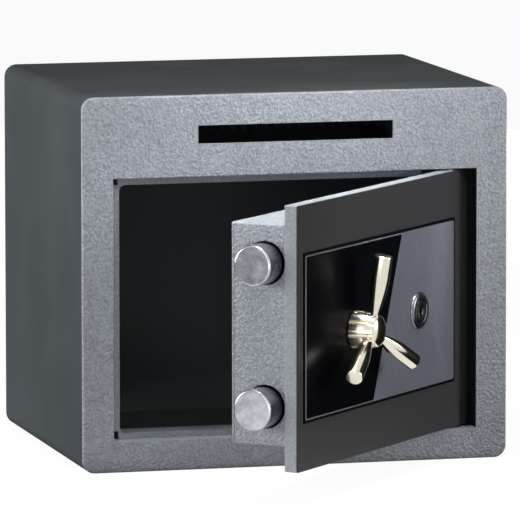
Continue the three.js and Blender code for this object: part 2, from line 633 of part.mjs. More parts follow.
// The pan is a ring of four walls with a tab in each corner for the cover screws
function addPan(door) {
  const outer = box(PAN_X0, PAN_X1, PAN_Y0, PAN_Y1, PAN_Z0, PAN_Z1);
  const inner = box(PAN_X0 + PAN_T, PAN_X1 - PAN_T, PAN_Y0 - 1, PAN_Y1 + 1, PAN_Z0 + PAN_T, PAN_Z1 - PAN_T);
  const tabs = [];
  const spots = [];
  [[PAN_X0, 1], [PAN_X1, -1]].forEach(([x, wayX]) => {
    [[PAN_Z0, 1], [PAN_Z1, -1]].forEach(([z, wayZ]) => {
      const xs = [x, x + wayX * PAN_TAB].sort((a, b) => a - b);
      const zs = [z, z + wayZ * PAN_TAB].sort((a, b) => a - b);
      tabs.push(box(...xs, PAN_Y1 - 2 * PAN_T, PAN_Y1, ...zs));
      spots.push([x + wayX * (PAN_TAB + PAN_T) / 2, z + wayZ * (PAN_TAB + PAN_T) / 2]);
    });
  });
  const boltHoles = Object.values(BOLT_ZS).map((z) =>
    rod(BOLT_R + BOLT_HOLE_CLEAR, PAN_X0 - 1, PAN_X0 + PAN_T + 1, "x", [0, BOLT_Y, z], FINE));
  const coverY0 = PAN_Y1 + SEAT;
  const coverY1 = coverY0 + COVER_T;
  const screwHoles = spots.map(([x, z]) => rod(SCREW_R + SEAT, PAN_Y1 - PAN_TAB, coverY1 + 1, "y", [x, 0, z], SMALL));
  const walls = joined(cut(outer, inner), ...tabs);
  part(door, "door_pan", cut(walls, ...boltHoles, ...screwHoles), hammerPaint);

  const cover = plateY(rectOutline(PAN_X0, PAN_X1, PAN_Z0, PAN_Z1), coverY0, coverY1);
  part(door, "pan_cover", cut(cover, ...screwHoles), hammerPaint);
  spots.forEach(([x, z], i) => {
    const under = coverY1 + SEAT;
    const shank = screw(under, under + SCREW_HEAD_T, PAN_Y1 - PAN_T, "y", [x, 0, z]);
    part(door, `cover_screw_${i + 1}`, shank, zinc);
  });

  const legX = PAN_X1 + SEAT;
  const dogX1 = OPEN_X1 + DOG_BEHIND;
  const z0 = DOOR_Z0 + DOG_END;
  const z1 = DOOR_Z1 - DOG_END;
  const web = box(legX, legX + DOG_WEB, DOG_Y, DOG_Y + DOG_LEG, z0, z1);
  const blade = box(legX, dogX1, DOG_Y, DOG_Y + DOG_T, z0, z1);
  part(door, "dog_bar", joined(web, blade), steel);
}

function addGuides(door) {
  const x0 = PAN_X0 + GUIDE_AT;
  const margin = PAN_T + 2;
  const upright = box(x0, x0 + GUIDE_T, PAN_Y0, PAN_Y1 - PAN_TAB, PAN_Z0 + margin, PAN_Z1 - margin);
  const holes = Object.values(BOLT_ZS).map((z) =>
    rod(BOLT_R + SLIDE, x0 - 1, x0 + GUIDE_T + 1, "x", [0, BOLT_Y, z], FINE));
  part(door, "guide_bracket", cut(upright, ...holes), steel);

  const midX = (HANDLE_X + CRANK_R + YOKE_W / 2 + LOCK_X - LOCK_W / 2) / 2;
  const edge = ARM_GUIDE_WALL;
  const staple = box(
    midX - ARM_GUIDE_W / 2, midX + ARM_GUIDE_W / 2, PAN_Y0, ARM_Y1 + SLIDE + edge, ARM_Z0 - SLIDE - edge,
    ARM_Z1 + SLIDE + edge,
  );
  const way = box(midX - LOCK_W, midX + LOCK_W, ARM_Y0 - SLIDE, ARM_Y1 + SLIDE, ARM_Z0 - SLIDE, ARM_Z1 + SLIDE);
  part(door, "arm_guide", cut(staple, way), steel);
}

function addLockCase(door) {
  const y1 = PAN_Y0 + LOCK_D;
  const caseZ1 = ARM_Z0 - LOCK_GAP - SEAT;
  const caseZ0 = caseZ1 - LOCK_H;
  const block = box(LOCK_X - LOCK_W / 2, LOCK_X + LOCK_W / 2, PAN_Y0, y1, caseZ0, caseZ1);
  const boltY = lockBoltY();
  const boreEnd = boltY + CAM_SLOT_DEEP + SLIDE;
  const plugBore = rod(PLUG_R + FIT, PAN_Y0 - 1, boreEnd, "y", [LOCK_X, 0, LOCK_Z]);
  const halfW = LOCK_BOLT_W / 2 + SLIDE;
  const boltWay = box(
    LOCK_X - halfW, LOCK_X + halfW, boltY - SLIDE, boltY + LOCK_BOLT_T + SLIDE,
    caseZ1 - LOCK_BOLT_LEN - SLIDE, caseZ1 + 1,
  );
  const ears = [-1, 1].map((side) => {
    const x = LOCK_X + side * (LOCK_W / 2 - SCREW_HEAD_R - 1);
    return [x, caseZ0 + SCREW_HEAD_R + 1];
  });
  const holes = ears.map(([x, z]) => rod(SCREW_R + SEAT, PAN_Y0 - 1, y1 + 1, "y", [x, 0, z], SMALL));
  part(door, "lock_case", cut(block, plugBore, boltWay, ...holes), zinc);
  ears.forEach(([x, z], i) => {
    const under = y1 + SEAT;
    const fixing = screw(under, under + SCREW_HEAD_T, PAN_Y0 + SEAT, "y", [x, 0, z]);
    part(door, `lock_screw_${i + 1}`, fixing, zinc);
  });
}

function lockBoltY() {
  return (ARM_Y0 + ARM_Y1) / 2 - LOCK_BOLT_T / 2;
}

// Handle, which turns about the spindle

function addHandle(door) {
  const axis = new THREE.Group();
  axis.position.set(HANDLE_X, 0, HANDLE_Z);
  door.add(axis);

  // the spokes start on the tapered side of the hub
  const taper = (HUB_R - HUB_END_R) / HUB_H;
  const startR = HUB_R - taper * SPOKE_ROOT_RISE;
  const lean = Math.atan2(SPOKE_RISE - SPOKE_ROOT_RISE, SPOKE_REACH - startR);
  const reach = Math.hypot(SPOKE_RISE - SPOKE_ROOT_RISE, SPOKE_REACH - startR);
  const start = new THREE.Vector3(0, HUB_Y1 - SPOKE_ROOT_RISE, startR);
  const placed = (geometry, turn) => {
    geometry.rotateX(Math.PI / 2 + lean);
    geometry.translate(start.x, start.y, start.z);
    geometry.rotateY(turn);
    return solid(geometry);
  };
  const lathe = (points, facets) =>
    new THREE.LatheGeometry(points.map(([radius, along]) => new THREE.Vector2(radius, along)), facets);

  const hubProfile = [[0, HUB_Y1], [HUB_R - 0.6, HUB_Y1], [HUB_R, HUB_Y1 - 0.6]];
  const domeSteps = 4;
  for (let i = 0; i < domeSteps; i += 1) {
    const angle = (i * Math.PI) / (2 * domeSteps);
    hubProfile.push([HUB_END_R * Math.cos(angle), HUB_Y0 - HUB_DOME * Math.sin(angle)]);
  }
  hubProfile.push([0, HUB_Y0 - HUB_DOME]);
  const hub = turned(hubProfile, "y", [0, 0, 0], FINE);
  const flutes = Array.from({ length: HUB_LOBES }, (_, i) => {
    const flute = new THREE.CylinderGeometry(FLUTE_R, FLUTE_R, 2 * HUB_H, FLUTE_FACETS);
    flute.rotateX(Math.atan(taper));
    flute.translate(0, (HUB_Y0 + HUB_Y1) / 2, (HUB_R + HUB_END_R) / 2 + FLUTE_R - FLUTE_DEEP);
    flute.rotateY(((i + 0.5) * 2 * Math.PI) / HUB_LOBES);
    return solid(flute);
  });
  const spindleHole = rod(SPINDLE_R + SEAT, HUB_Y1 - SPINDLE_IN_HUB - SEAT, HUB_Y1 + 1, "y", [0, 0, 0]);
  const screwHole = rod(SET_SCREW_R + SEAT, -HUB_R - 1, -SPINDLE_R + 1, "z", [0, HUB_Y1 - SPINDLE_IN_HUB / 2, 0], SMALL);
  const turns = Array.from({ length: SPOKE_COUNT }, (_, i) => (i * 2 * Math.PI) / SPOKE_COUNT);
  const sockets = turns.map((turn) => {
    const r = SPOKE_ROOT_R + SEAT;
    return placed(lathe([[0, -SPOKE_SOCKET - SEAT], [r, -SPOKE_SOCKET - SEAT], [r, 4], [0, 4]], SMALL), turn);
  });
  part(axis, "handle_hub", cut(hub, spindleHole, screwHole, ...sockets, ...flutes), chrome);

  // thin at the hub, swelling to a club that narrows a little and ends in a turned nose
  const swell = [[SPOKE_ROOT_R, 0]];
  const steps = 8;
  for (let i = 1; i <= steps; i += 1) {
    const along = i / steps;
    const ease = Math.sin((along * Math.PI) / 2);
    swell.push([SPOKE_ROOT_R + (SPOKE_CLUB_R - SPOKE_ROOT_R) * ease, along * reach * SPOKE_SWELL]);
  }
  const nose = rounded(SPOKE_TIP_R, 0, reach, SPOKE_TIP_NOSE);
  swell.push(...nose, [0, reach]);
  turns.forEach((turn, i) => {
    const stud = [[0, -SPOKE_SOCKET], [SPOKE_ROOT_R, -SPOKE_SOCKET]];
    part(axis, `handle_spoke_${i + 1}`, placed(lathe([...stud, ...swell], ROUND), turn), chrome);
  });

  const screwY = HUB_Y1 - SPINDLE_IN_HUB / 2;
  const setScrew = rod(SET_SCREW_R, -HUB_R + 1, -SPINDLE_R - SEAT, "z", [0, screwY, 0], SMALL);
  part(axis, "hub_set_screw", setScrew, zinc);

  const half = SPINDLE_FLAT / 2;
  const spindleEnd = CRANK_Y + CRANK_T + SEAT + NUT_T;
  const round = rod(SPINDLE_R, HUB_Y1 - SPINDLE_IN_HUB, CRANK_Y - SEAT, "y", [0, 0, 0]);
  const square = box(-half, half, CRANK_Y - 1, CRANK_Y + CRANK_T, -half, half);
  const thread = rod(half - 0.2, CRANK_Y, spindleEnd, "y", [0, 0, 0], SMALL);
  // at rest the crank leans to the bolt side by half of the handle's turn
  const restTurn = -THREE.MathUtils.degToRad(HANDLE_TURN_DEG / 2);
  const spindleMesh = part(axis, "handle_spindle", joined(round, square, thread), steel);
  spindleMesh.rotation.y = restTurn;

  const crankY1 = CRANK_Y + CRANK_T;
  const leanIn = Math.asin((CRANK_BOSS_R - CRANK_EYE_R) / CRANK_R);
  const web = new THREE.Shape();
  web.absarc(0, CRANK_R, CRANK_EYE_R, leanIn, Math.PI - leanIn, false);
  web.absarc(0, 0, CRANK_BOSS_R, Math.PI - leanIn, 2 * Math.PI + leanIn, false);
  const hole = half + SEAT / 2;
  const squareHole = box(-hole, hole, CRANK_Y - 1, crankY1 + 1, -hole, hole);
  const pin = rod(CRANK_PIN_R, CRANK_Y + 1, ARM_Y1 + 1, "y", [0, 0, CRANK_R], SMALL);
  const crank = cut(joined(plateY(web, CRANK_Y, crankY1, 0, 1, 12), pin), squareHole);
  const crankMesh = part(axis, "crank_plate", crank, steel);
  crankMesh.rotation.y = restTurn;

  const nut = new THREE.CylinderGeometry(NUT_AF / Math.sqrt(3), NUT_AF / Math.sqrt(3), NUT_T, 6);
  nut.translate(0, crankY1 + SEAT + NUT_T / 2, 0);
  const nutBore = rod(half - 0.2 + SEAT, crankY1 - 1, crankY1 + NUT_T + 2, "y", [0, 0, 0], SMALL);
  part(axis, "spindle_nut", cut(solid(nut), nutBore), zinc);
}

// Bolts and carriage, which slide together along the door

function addBolts(door) {
  const boltEnd = BOLT_TIP_X + BOLT_LEN;
  const shankR = SCREW_R + 0.5;
  const screwDeep = 12;
  Object.entries(BOLT_ZS).forEach(([name, z]) => {
    const profile = [[0, BOLT_TIP_X], [BOLT_R - BOLT_CHAMFER, BOLT_TIP_X], [BOLT_R, BOLT_TIP_X + BOLT_CHAMFER]];
    profile.push([BOLT_R, boltEnd], [0, boltEnd]);
    const bolt = turned(profile, "x", [0, BOLT_Y, z], FINE);
    const bore = rod(shankR + SEAT, boltEnd - screwDeep, boltEnd + 1, "x", [0, BOLT_Y, z], SMALL);
    part(door, `${name}_bolt`, cut(bolt, bore), chrome);
    const under = BAR_X1 + SEAT;
    const fixing = [[0, boltEnd - screwDeep + SEAT], [shankR, boltEnd - screwDeep + SEAT], [shankR, under]];
    fixing.push([SCREW_HEAD_R, under], [SCREW_HEAD_R, under + SCREW_HEAD_T], [0, under + SCREW_HEAD_T]);
    part(door, `${name}_bolt_screw`, turned(fixing, "x", [0, BOLT_Y, z], SMALL), zinc);
  });

  const bar = box(
    BAR_X0, BAR_X1, BOLT_Y - BAR_W / 2, BOLT_Y + BAR_W / 2, BOLT_ZS.lower - BAR_OVER, BOLT_ZS.upper + BAR_OVER,
  );
  const pinX = HANDLE_X - BOLT_TRAVEL / 2;
  const arm = plateY(rectOutline(BAR_X0, ARM_X1, ARM_Z0, ARM_Z1, 2), ARM_Y0, ARM_Y1, 0, 1, 3);
  const yoke = plateY(rectOutline(
    pinX - YOKE_W / 2, pinX + YOKE_W / 2, YOKE_MID_Z - YOKE_H / 2, YOKE_MID_Z + YOKE_H / 2, 3,
  ), ARM_Y0, ARM_Y1, 0, 1, 4);
  const slotR = CRANK_PIN_R + SLIDE;
  const slotTop = HANDLE_Z + CRANK_R + slotR + 0.5;
  const slotBottom = HANDLE_Z + PIN_LOW_Z - slotR - 0.5;
  const pinSlot = plateY(
    rectOutline(pinX - slotR, pinX + slotR, slotBottom, slotTop, slotR - 0.01), ARM_Y0 - 1, ARM_Y1 + 1,
  );
  const notchHalf = LOCK_BOLT_W / 2 + NOTCH_PLAY;
  const notches = [0, -BOLT_TRAVEL].map((shift) => box(
    LOCK_X + shift - notchHalf, LOCK_X + shift + notchHalf, ARM_Y0 - 1, ARM_Y1 + 1, ARM_Z0 - 1, ARM_Z0 + NOTCH_H,
  ));
  const bores = Object.values(BOLT_ZS).map((z) =>
    rod(shankR + SEAT, BAR_X0 - 1, BAR_X1 + 1, "x", [0, BOLT_Y, z], SMALL));
  part(door, "bolt_carriage", cut(joined(bar, arm, yoke), pinSlot, ...notches, ...bores), zinc);
}

// Key plug, which turns, and the lock bolt that it lifts into the arm

function addLock(door) {
  const face = -PANEL_PROUD - SEAT - ROSETTE_H + PLUG_RECESS;
  const end = DOOR_T + PLUG_DEEP;
  const profile = [[0, face], [PLUG_R - 0.6, face], [PLUG_R, face + 0.6], [PLUG_R, end], [0, end]];
  const plug = turned(profile, "y", [LOCK_X, 0, LOCK_Z], FINE);
  const keyway = box(
    LOCK_X - KEYWAY_W / 2, LOCK_X + KEYWAY_W / 2, face - 1, face + KEYWAY_DEEP,
    LOCK_Z - KEYWAY_H / 2, LOCK_Z + KEYWAY_H / 2,
  );
  // the cam pin stands half of the key's turn below the level, and ends as far above it
  const y0 = lockBoltY();
  const camX = LOCK_X + CAM_R * Math.cos(THREE.MathUtils.degToRad(KEY_TURN_DEG / 2));
  const camZ = LOCK_Z - LOCK_THROW / 2;
  const camPin = rod(CAM_PIN_R, end - 1, y0 + CAM_SLOT_DEEP - SEAT, "y", [camX, 0, camZ], SMALL);
  part(door, "key_plug", cut(joined(plug, camPin), keyway), chrome);

  const top = ARM_Z0 - LOCK_GAP;
  const x1 = LOCK_X + LOCK_BOLT_W / 2;
  const tongue = box(LOCK_X - LOCK_BOLT_W / 2, x1, y0, y0 + LOCK_BOLT_T, top - LOCK_BOLT_LEN, top);
  const camSlot = box(
    camX - CAM_PIN_R - CAM_PLAY, x1 + 1, y0 - 1, y0 + CAM_SLOT_DEEP,
    camZ - CAM_PIN_R - CAM_PLAY, camZ + CAM_PIN_R + CAM_PLAY,
  );
  part(door, "lock_bolt", cut(tongue, camSlot), brass);
}

const safe = new THREE.Group();
safe.position.set(0, -BODY_D / 2, 0);
addCabinet(safe);

const hinge = new THREE.Group();
hinge.position.set(HINGE_X, HINGE_Y, 0);
hinge.rotation.z = THREE.MathUtils.degToRad(DOOR_OPEN_DEG);
safe.add(hinge);

const door = new THREE.Group();
door.position.set(-HINGE_X, -HINGE_Y, 0);
hinge.add(door);
addDoor(door);
addHandle(door);
addBolts(door);
addLock(door);

export default safe;
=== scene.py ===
import json
import logging
import math
from dataclasses import dataclass, field
from enum import Enum
from typing import Callable, ClassVar, Iterable, Sequence

import bmesh
import bpy
from mathutils import Matrix, Vector


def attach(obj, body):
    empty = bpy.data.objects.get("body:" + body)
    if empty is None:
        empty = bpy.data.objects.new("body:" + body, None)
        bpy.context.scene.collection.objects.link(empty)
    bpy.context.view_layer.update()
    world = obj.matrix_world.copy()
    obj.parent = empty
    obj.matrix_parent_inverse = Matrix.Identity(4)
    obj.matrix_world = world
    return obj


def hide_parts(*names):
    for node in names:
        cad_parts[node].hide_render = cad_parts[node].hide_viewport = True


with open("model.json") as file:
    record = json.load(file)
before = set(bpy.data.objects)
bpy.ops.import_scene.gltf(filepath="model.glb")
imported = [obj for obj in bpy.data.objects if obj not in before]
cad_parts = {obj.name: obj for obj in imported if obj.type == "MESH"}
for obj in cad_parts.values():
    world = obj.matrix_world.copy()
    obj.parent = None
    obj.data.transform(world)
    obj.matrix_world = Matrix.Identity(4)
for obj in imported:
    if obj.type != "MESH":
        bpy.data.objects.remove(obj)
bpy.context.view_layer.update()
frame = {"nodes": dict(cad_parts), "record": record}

LOG = logging.getLogger("deposit_safe")
MM = 0.001
FRONT_Y = -0.140
WELD = 1e-6  # metres between points that become one
Spot = tuple[float, float]
Point = tuple[float, float, float]
Sides = tuple[float, float, float, float]
Colour = tuple[float, float, float, float]


class Axis(Enum):
    """The row axis that a turned or bored shape lies along."""

    X = 0
    Y = 1
    Z = 2


def sheen_colour(code: str) -> Colour:
    """A screen colour such as "4a5052" as the linear values that a shader takes.

    Args:
        code: six hexadecimal digits.

    Returns:
        Linear red, green, blue and an alpha of 1.
    """
    levels = [int(code[i : i + 2], 16) / 255 for i in (0, 2, 4)]
    linear = [v / 12.92 if v <= 0.04045 else ((v + 0.055) / 1.055) ** 2.4 for v in levels]
    return (linear[0], linear[1], linear[2], 1.0)


def toned(code: str, factor: float) -> Colour:
    """A screen colour's linear values times a factor, held at 1."""
    red, green, blue, _ = sheen_colour(code)
    return (min(1.0, red * factor), min(1.0, green * factor), min(1.0, blue * factor), 1.0)


def grey(level: float) -> Colour:
    """A grey of one linear level."""
    return (level, level, level, 1)


# Shaping


def block(low: Point, high: Point) -> bmesh.types.BMesh:
    """A box between two corners, in millimetres from the front plane.

    Args:
        low: the lowest corner.
        high: the highest corner.

    Returns:
        The box as a bmesh in metres.
    """
    a, b = Vector(low) * MM, Vector(high) * MM
    bm = bmesh.new()
    place = Matrix.Translation((a + b) / 2) @ Matrix.Diagonal((*(b - a), 1.0))
    bmesh.ops.create_cube(bm, size=1.0, matrix=place)
    return bm


def bevelled(
    bm: bmesh.types.BMesh,
    chosen: Callable[[bmesh.types.BMEdge], bool],
    width: float,
    segments: int,
) -> bmesh.types.BMesh:
    """Rounds the chosen edges.

    Args:
        bm: the shape.
        chosen: says whether an edge is rounded.
        width: the radius in millimetres.
        segments: how many faces the round has.

    Returns:
        The same shape.
    """
    edges = [e for e in bm.edges if chosen(e)]
    bmesh.ops.bevel(
        bm, geom=edges, offset=width * MM, offset_type="OFFSET", affect="EDGES",
        segments=segments, profile=0.5, material=-1,
    )
    return bm


def runs_along(axis: Axis) -> Callable[[bmesh.types.BMEdge], bool]:
    """A test for the straight edges that run along an axis.

    Args:
        axis: the row axis.

    Returns:
        The test, as bevelled takes it.
    """

    def test(edge: bmesh.types.BMEdge) -> bool:
        """Whether this edge runs along the axis."""
        way = edge.verts[1].co - edge.verts[0].co
        return abs(way[axis.value]) > 0.999 * way.length

    return test


def lies_at(axis: Axis, place: float) -> Callable[[bmesh.types.BMEdge], bool]:
    """A test for edges that lie in the plane across an axis at a place in millimetres.

    Args:
        axis: the row axis that the plane lies across.
        place: where it crosses the axis.

    Returns:
        The test, as bevelled takes it.
    """

    def test(edge: bmesh.types.BMEdge) -> bool:
        """Whether both ends of this edge lie in the plane."""
        return all(abs(v.co[axis.value] - place * MM) < WELD for v in edge.verts)

    return test


def turned(
    profile: Sequence[Spot], axis: Axis, centre: Point, steps: int = 64
) -> bmesh.types.BMesh:
    """A shape turned about an axis from a profile.

    Args:
        profile: pairs of radius and place along the axis, in millimetres.
        axis: the row axis that it turns about.
        centre: a point of the axis in millimetres.
        steps: faces round the full turn.

    Returns:
        The closed shape in metres.
    """
    along = Vector((0, 0, 0))
    along[axis.value] = 1.0
    out = Vector((0, 0, 1)) if axis is not Axis.Z else Vector((1, 0, 0))
    bm = bmesh.new()
    middle = Vector(centre) * MM
    verts = [bm.verts.new(middle + (out * r + along * s) * MM) for r, s in profile]
    edges = [bm.edges.new((a, b)) for a, b in zip(verts, verts[1:])]
    bmesh.ops.spin(
        bm, geom=[*verts, *edges], cent=middle, axis=along, dvec=(0, 0, 0),
        angle=2 * math.pi, steps=steps, use_merge=True, use_duplicate=False,
    )
    bmesh.ops.remove_doubles(bm, verts=bm.verts, dist=WELD)
    bmesh.ops.recalc_face_normals(bm, faces=bm.faces)
    return bm


def quarter(centre: Spot, across: float, along: float, steps: int) -> list[Spot]:
    """Profile points of a quarter ellipse, from its side to its crown.

    Args:
        centre: the radius and the place of its centre.
        across: its half axis in radius.
        along: its half axis along the turning axis.
        steps: how many chords it has.

    Returns:
        The points, one more than the steps.
    """
    angles = [math.pi / 2 * i / steps for i in range(steps + 1)]
    return [(centre[0] + across * math.cos(a), centre[1] + along * math.sin(a)) for a in angles]


def rod(
    radius: float, start: float, end: float, axis: Axis, centre: Point, steps: int = 48
) -> bmesh.types.BMesh:
    """A plain cylinder along an axis.

    Args:
        radius: its radius in millimetres.
        start: where it begins along the axis.
        end: where it ends.
        axis: the row axis that it lies along.
        centre: a point of the axis in millimetres.
        steps: faces round the full turn.

    Returns:
        The closed cylinder in metres.
    """
    return turned([(0, start), (radius, start), (radius, end), (0, end)], axis, centre, steps)


def linked(name: str, data: bpy.types.ID) -> bpy.types.Object:
    """A new object of the scene that shows a mesh, a light or a camera.

    Args:
        name: the object's name.
        data: what it shows.

    Returns:
        The object.
    """
    made = bpy.data.objects.new(name, data)
    bpy.context.scene.collection.objects.link(made)
    return made


def meshed(name: str, bm: bmesh.types.BMesh) -> bpy.types.Mesh:
    """A new mesh from a bmesh, which is used up.

    Args:
        name: the mesh's name.
        bm: the shape in metres.

    Returns:
        The mesh.
    """
    mesh = bpy.data.meshes.new(name)
    bm.to_mesh(mesh)
    bm.free()
    return mesh


def _held(bm: bmesh.types.BMesh, name: str) -> bpy.types.Object:
    """Puts a bmesh into an object of the scene for a modifier to work on."""
    bmesh.ops.recalc_face_normals(bm, faces=bm.faces)
    return linked(name, meshed(name, bm))


def combined(
    body: bmesh.types.BMesh, others: Iterable[bmesh.types.BMesh], operation: str = "DIFFERENCE"
) -> bmesh.types.BMesh:
    """Cuts shapes out of a body, or joins them to it.

    Args:
        body: the shape that is kept.
        others: the shapes to cut out or to join on.
        operation: DIFFERENCE or UNION.

    Returns:
        A new bmesh; the ones given are used up.
    """
    base = _held(body, "work_body")
    tools = [_held(other, "work_tool") for other in others]
    for tool in tools:
        step = base.modifiers.new("step", "BOOLEAN")
        step.operation = operation
        step.solver = "EXACT"
        step.object = tool
    graph = bpy.context.evaluated_depsgraph_get()
    made = bpy.data.meshes.new_from_object(base.evaluated_get(graph))
    result = bmesh.new()
    result.from_mesh(made)
    bpy.data.meshes.remove(made)
    for held in [base, *tools]:
        mesh = held.data
        bpy.data.objects.remove(held)
        bpy.data.meshes.remove(mesh)
    bmesh.ops.remove_doubles(result, verts=result.verts, dist=2 * WELD)
    return result


@dataclass(frozen=True)
class Place:
    """Where a sub-assembly's own coordinates lie in the row frame."""

    matrix: Matrix
    body: str

    def put(self, bm: bmesh.types.BMesh) -> bmesh.types.BMesh:
        """Moves a shape from its own coordinates into the row frame."""
        bmesh.ops.transform(bm, matrix=self.matrix, verts=bm.verts)
        return bm

    def on(self, body: str) -> "Place":
        """The same place on another body."""
        return Place(self.matrix, body)


# Sizes that sub-assemblies share, in millimetres from the front plane
HINGE_X, HINGE_Y = 129, 7
PIN_BORE = 3.9
SPINDLE: Point = (-50.5, 0, 126.5)
LOCK: Point = (58, 0, 128.6)
SPINDLE_BORE, BARREL_BORE = 5.8, 9.4
BOLT_LEVELS = {"lower": 74, "upper": 186}
BOLT_Y = 36
FIT = 0.3  # the gap between pieces that sit against each other
OVER = 5  # how far a cutter reaches past what it cuts
THROUGH = 20  # deeper than the front with its reveal, and than the door plate

HINGE = Vector((HINGE_X * MM, FRONT_Y + HINGE_Y * MM, 0))
OPEN_DEG = 47.5
FROM_FRONT = Matrix.Translation((0, FRONT_Y, 0))
OPENED = Matrix.Rotation(math.radians(OPEN_DEG), 4, "Z")
SWING = Matrix.Translation(HINGE) @ OPENED @ Matrix.Translation(-HINGE)
CABINET = Place(FROM_FRONT, "cabinet")
DOOR = Place(SWING @ FROM_FRONT, "door")


@dataclass
class Piece:
    """A finished piece of the safe before it goes into the scene."""

    smooth_limit: ClassVar[float] = math.radians(34)
    round_limit: ClassVar[float] = math.radians(40)

    name: str
    shape: bmesh.types.BMesh
    place: Place
    finish: "Finish"
    stands_for: tuple[str, ...] = ()
    edge: float = 0.0
    edge_segments: int = 2
    # Picks the faces that take a near-black painted shade instead of the finish.
    hinge_shade_test: Callable[[bmesh.types.BMFace], bool] | None = None

    def add(self) -> None:
        """Puts the piece into the scene, dressed and riding on its body."""
        bm = self.place.put(self.shape)
        bmesh.ops.remove_doubles(bm, verts=bm.verts, dist=WELD)
        bmesh.ops.recalc_face_normals(bm, faces=bm.faces)
        for face in bm.faces:
            face.smooth = True
            # Faces that the test picks take the second material, a near-black painted shade.
            face.material_index = int(bool(self.hinge_shade_test and self.hinge_shade_test(face)))
        for edge in bm.edges:
            if len(edge.link_faces) == 2 and edge.calc_face_angle(0.0) > self.smooth_limit:
                edge.smooth = False
        mesh = meshed(self.name, bm)
        mesh.materials.append(self.finish.material())
        if self.hinge_shade_test:
            mesh.materials.append(HINGE_SHADE.material())
        made = linked(self.name, mesh)
        if self.edge > 0:
            soft = made.modifiers.new("soft_edges", "BEVEL")
            soft.width = self.edge * MM
            soft.segments = self.edge_segments
            soft.limit_method = "ANGLE"
            soft.angle_limit = self.round_limit
            soft.harden_normals = True
        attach(made, self.place.body)
        if self.stands_for:
            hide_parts(*self.stands_for)
        LOG.info("%s: %d faces on %s", self.name, len(mesh.polygons), self.place.body)


# Finishes


class Tree:
    """Adds nodes to one shader tree or node group and joins their sockets."""

    def __init__(self, tree: bpy.types.NodeTree) -> None:
        """Takes the tree to build in."""
        self.tree = tree

    def feed(self, socket: bpy.types.NodeSocket, value: object) -> None:
        """Links an input to a socket, or sets it to a plain value.

        Args:
            socket: the input.
            value: the socket that feeds it, or its value.
        """
        if isinstance(value, bpy.types.NodeSocket):
            self.tree.links.new(value, socket)
        else:
            socket.default_value = value

    def give(self, node: bpy.types.Node, **values: object) -> bpy.types.Node:
        """Sets a node's attributes and inputs.

        Args:
            node: the node.
            values: attributes of the node, or its inputs by name with _ for a space, each a
                plain value or the socket that feeds it.

        Returns:
            The same node.
        """
        for key, value in values.items():
            socket = node.inputs.get(key.replace("_", " "))
            if socket is None or hasattr(node, key):
                setattr(node, key, value)
            else:
                self.feed(socket, value)
        return node

    def add(self, kind: str, **values: object) -> bpy.types.Node:
        """A new node.

        Args:
            kind: the node's type name, without "ShaderNode".
            values: what give takes.

        Returns:
            The node.
        """
        kind = kind if kind.startswith("Node") else "ShaderNode" + kind
        return self.give(self.tree.nodes.new(kind), **values)

    @classmethod
    def of(cls, owner: bpy.types.ID) -> "Tree":
        """The emptied tree of a new material or world.

        Args:
            owner: the material or the world.

        Returns:
            The tree to build in.
        """
        owner.use_nodes = True
        owner.node_tree.nodes.clear()
        return cls(owner.node_tree)

    def end(self, kind: str, shader: bpy.types.NodeSocket) -> None:
        """Closes a material or a world with its output node."""
        self.feed(self.add(kind).inputs[0], shader)

    def maths(self, operation: str, first: object, second: object) -> bpy.types.NodeSocket:
        """The result of a Math node whose inputs are sockets or numbers.

        Args:
            operation: the node's operation.
            first: a socket or a number.
            second: another one.

        Returns:
            The result's socket.
        """
        node = self.add("Math", operation=operation)
        self.feed(node.inputs[0], first)
        self.feed(node.inputs[1], second)
        return node.outputs[0]

    def blend(self, share: object, first: object, second: object) -> bpy.types.NodeSocket:
        """The colour output of a Mix node whose inputs are sockets or values.

        Args:
            share: how much of the second colour there is.
            first: the colour where it is 0.
            second: the colour where it is 1.

        Returns:
            The colour's socket.
        """
        node = self.add("Mix", data_type="RGBA")
        for index, value in ((0, share), (6, first), (7, second)):
            self.feed(node.inputs[index], value)
        return node.outputs[2]

    def noise(
        self, place: bpy.types.NodeSocket, scale: object, detail: float, roughness: float
    ) -> bpy.types.NodeSocket:
        """The tone of a Noise Texture.

        Args:
            place: the coordinates that it reads.
            scale: how many grains a metre has, a number or a socket.
            detail: how many finer layers it has.
            roughness: how strongly they show.

        Returns:
            The tone, mostly between 0.3 and 0.7.
        """
        return self.add(
            "TexNoise", Vector=place, Scale=scale, Detail=detail, Roughness=roughness
        ).outputs[0]

    def mix(
        self, share: object, first: bpy.types.NodeSocket, second: bpy.types.NodeSocket
    ) -> bpy.types.NodeSocket:
        """One shader where the share is 0 and another where it is 1.

        Args:
            share: the socket of the share.
            first: the shader where it is 0.
            second: the shader where it is 1.

        Returns:
            The shader's socket.
        """
        node = self.add("MixShader")
        for index, value in enumerate((share, first, second)):
            self.feed(node.inputs[index], value)
        return node.outputs[0]

    def spread(
        self, value: bpy.types.NodeSocket, low: float, high: float, to_low: float, to_high: float
    ) -> bpy.types.NodeSocket:
        """Maps a value from one range to another, held at its ends.

        Args:
            value: the socket of the value.
            low: where its range begins.
            high: where it ends.
            to_low: what the beginning becomes.
            to_high: what the end becomes.

        Returns:
            The mapped value's socket.
        """
        node = self.add("MapRange", clamp=True)
        for index, given in enumerate((value, low, high, to_low, to_high)):
            self.feed(node.inputs[index], given)
        return node.outputs[0]

    def level(
        self, value: bpy.types.NodeSocket, to_low: float, to_high: float
    ) -> bpy.types.NodeSocket:
        """Maps a tone from 0 to 1 to two levels."""
        return self.spread(value, 0.0, 1.0, to_low, to_high)


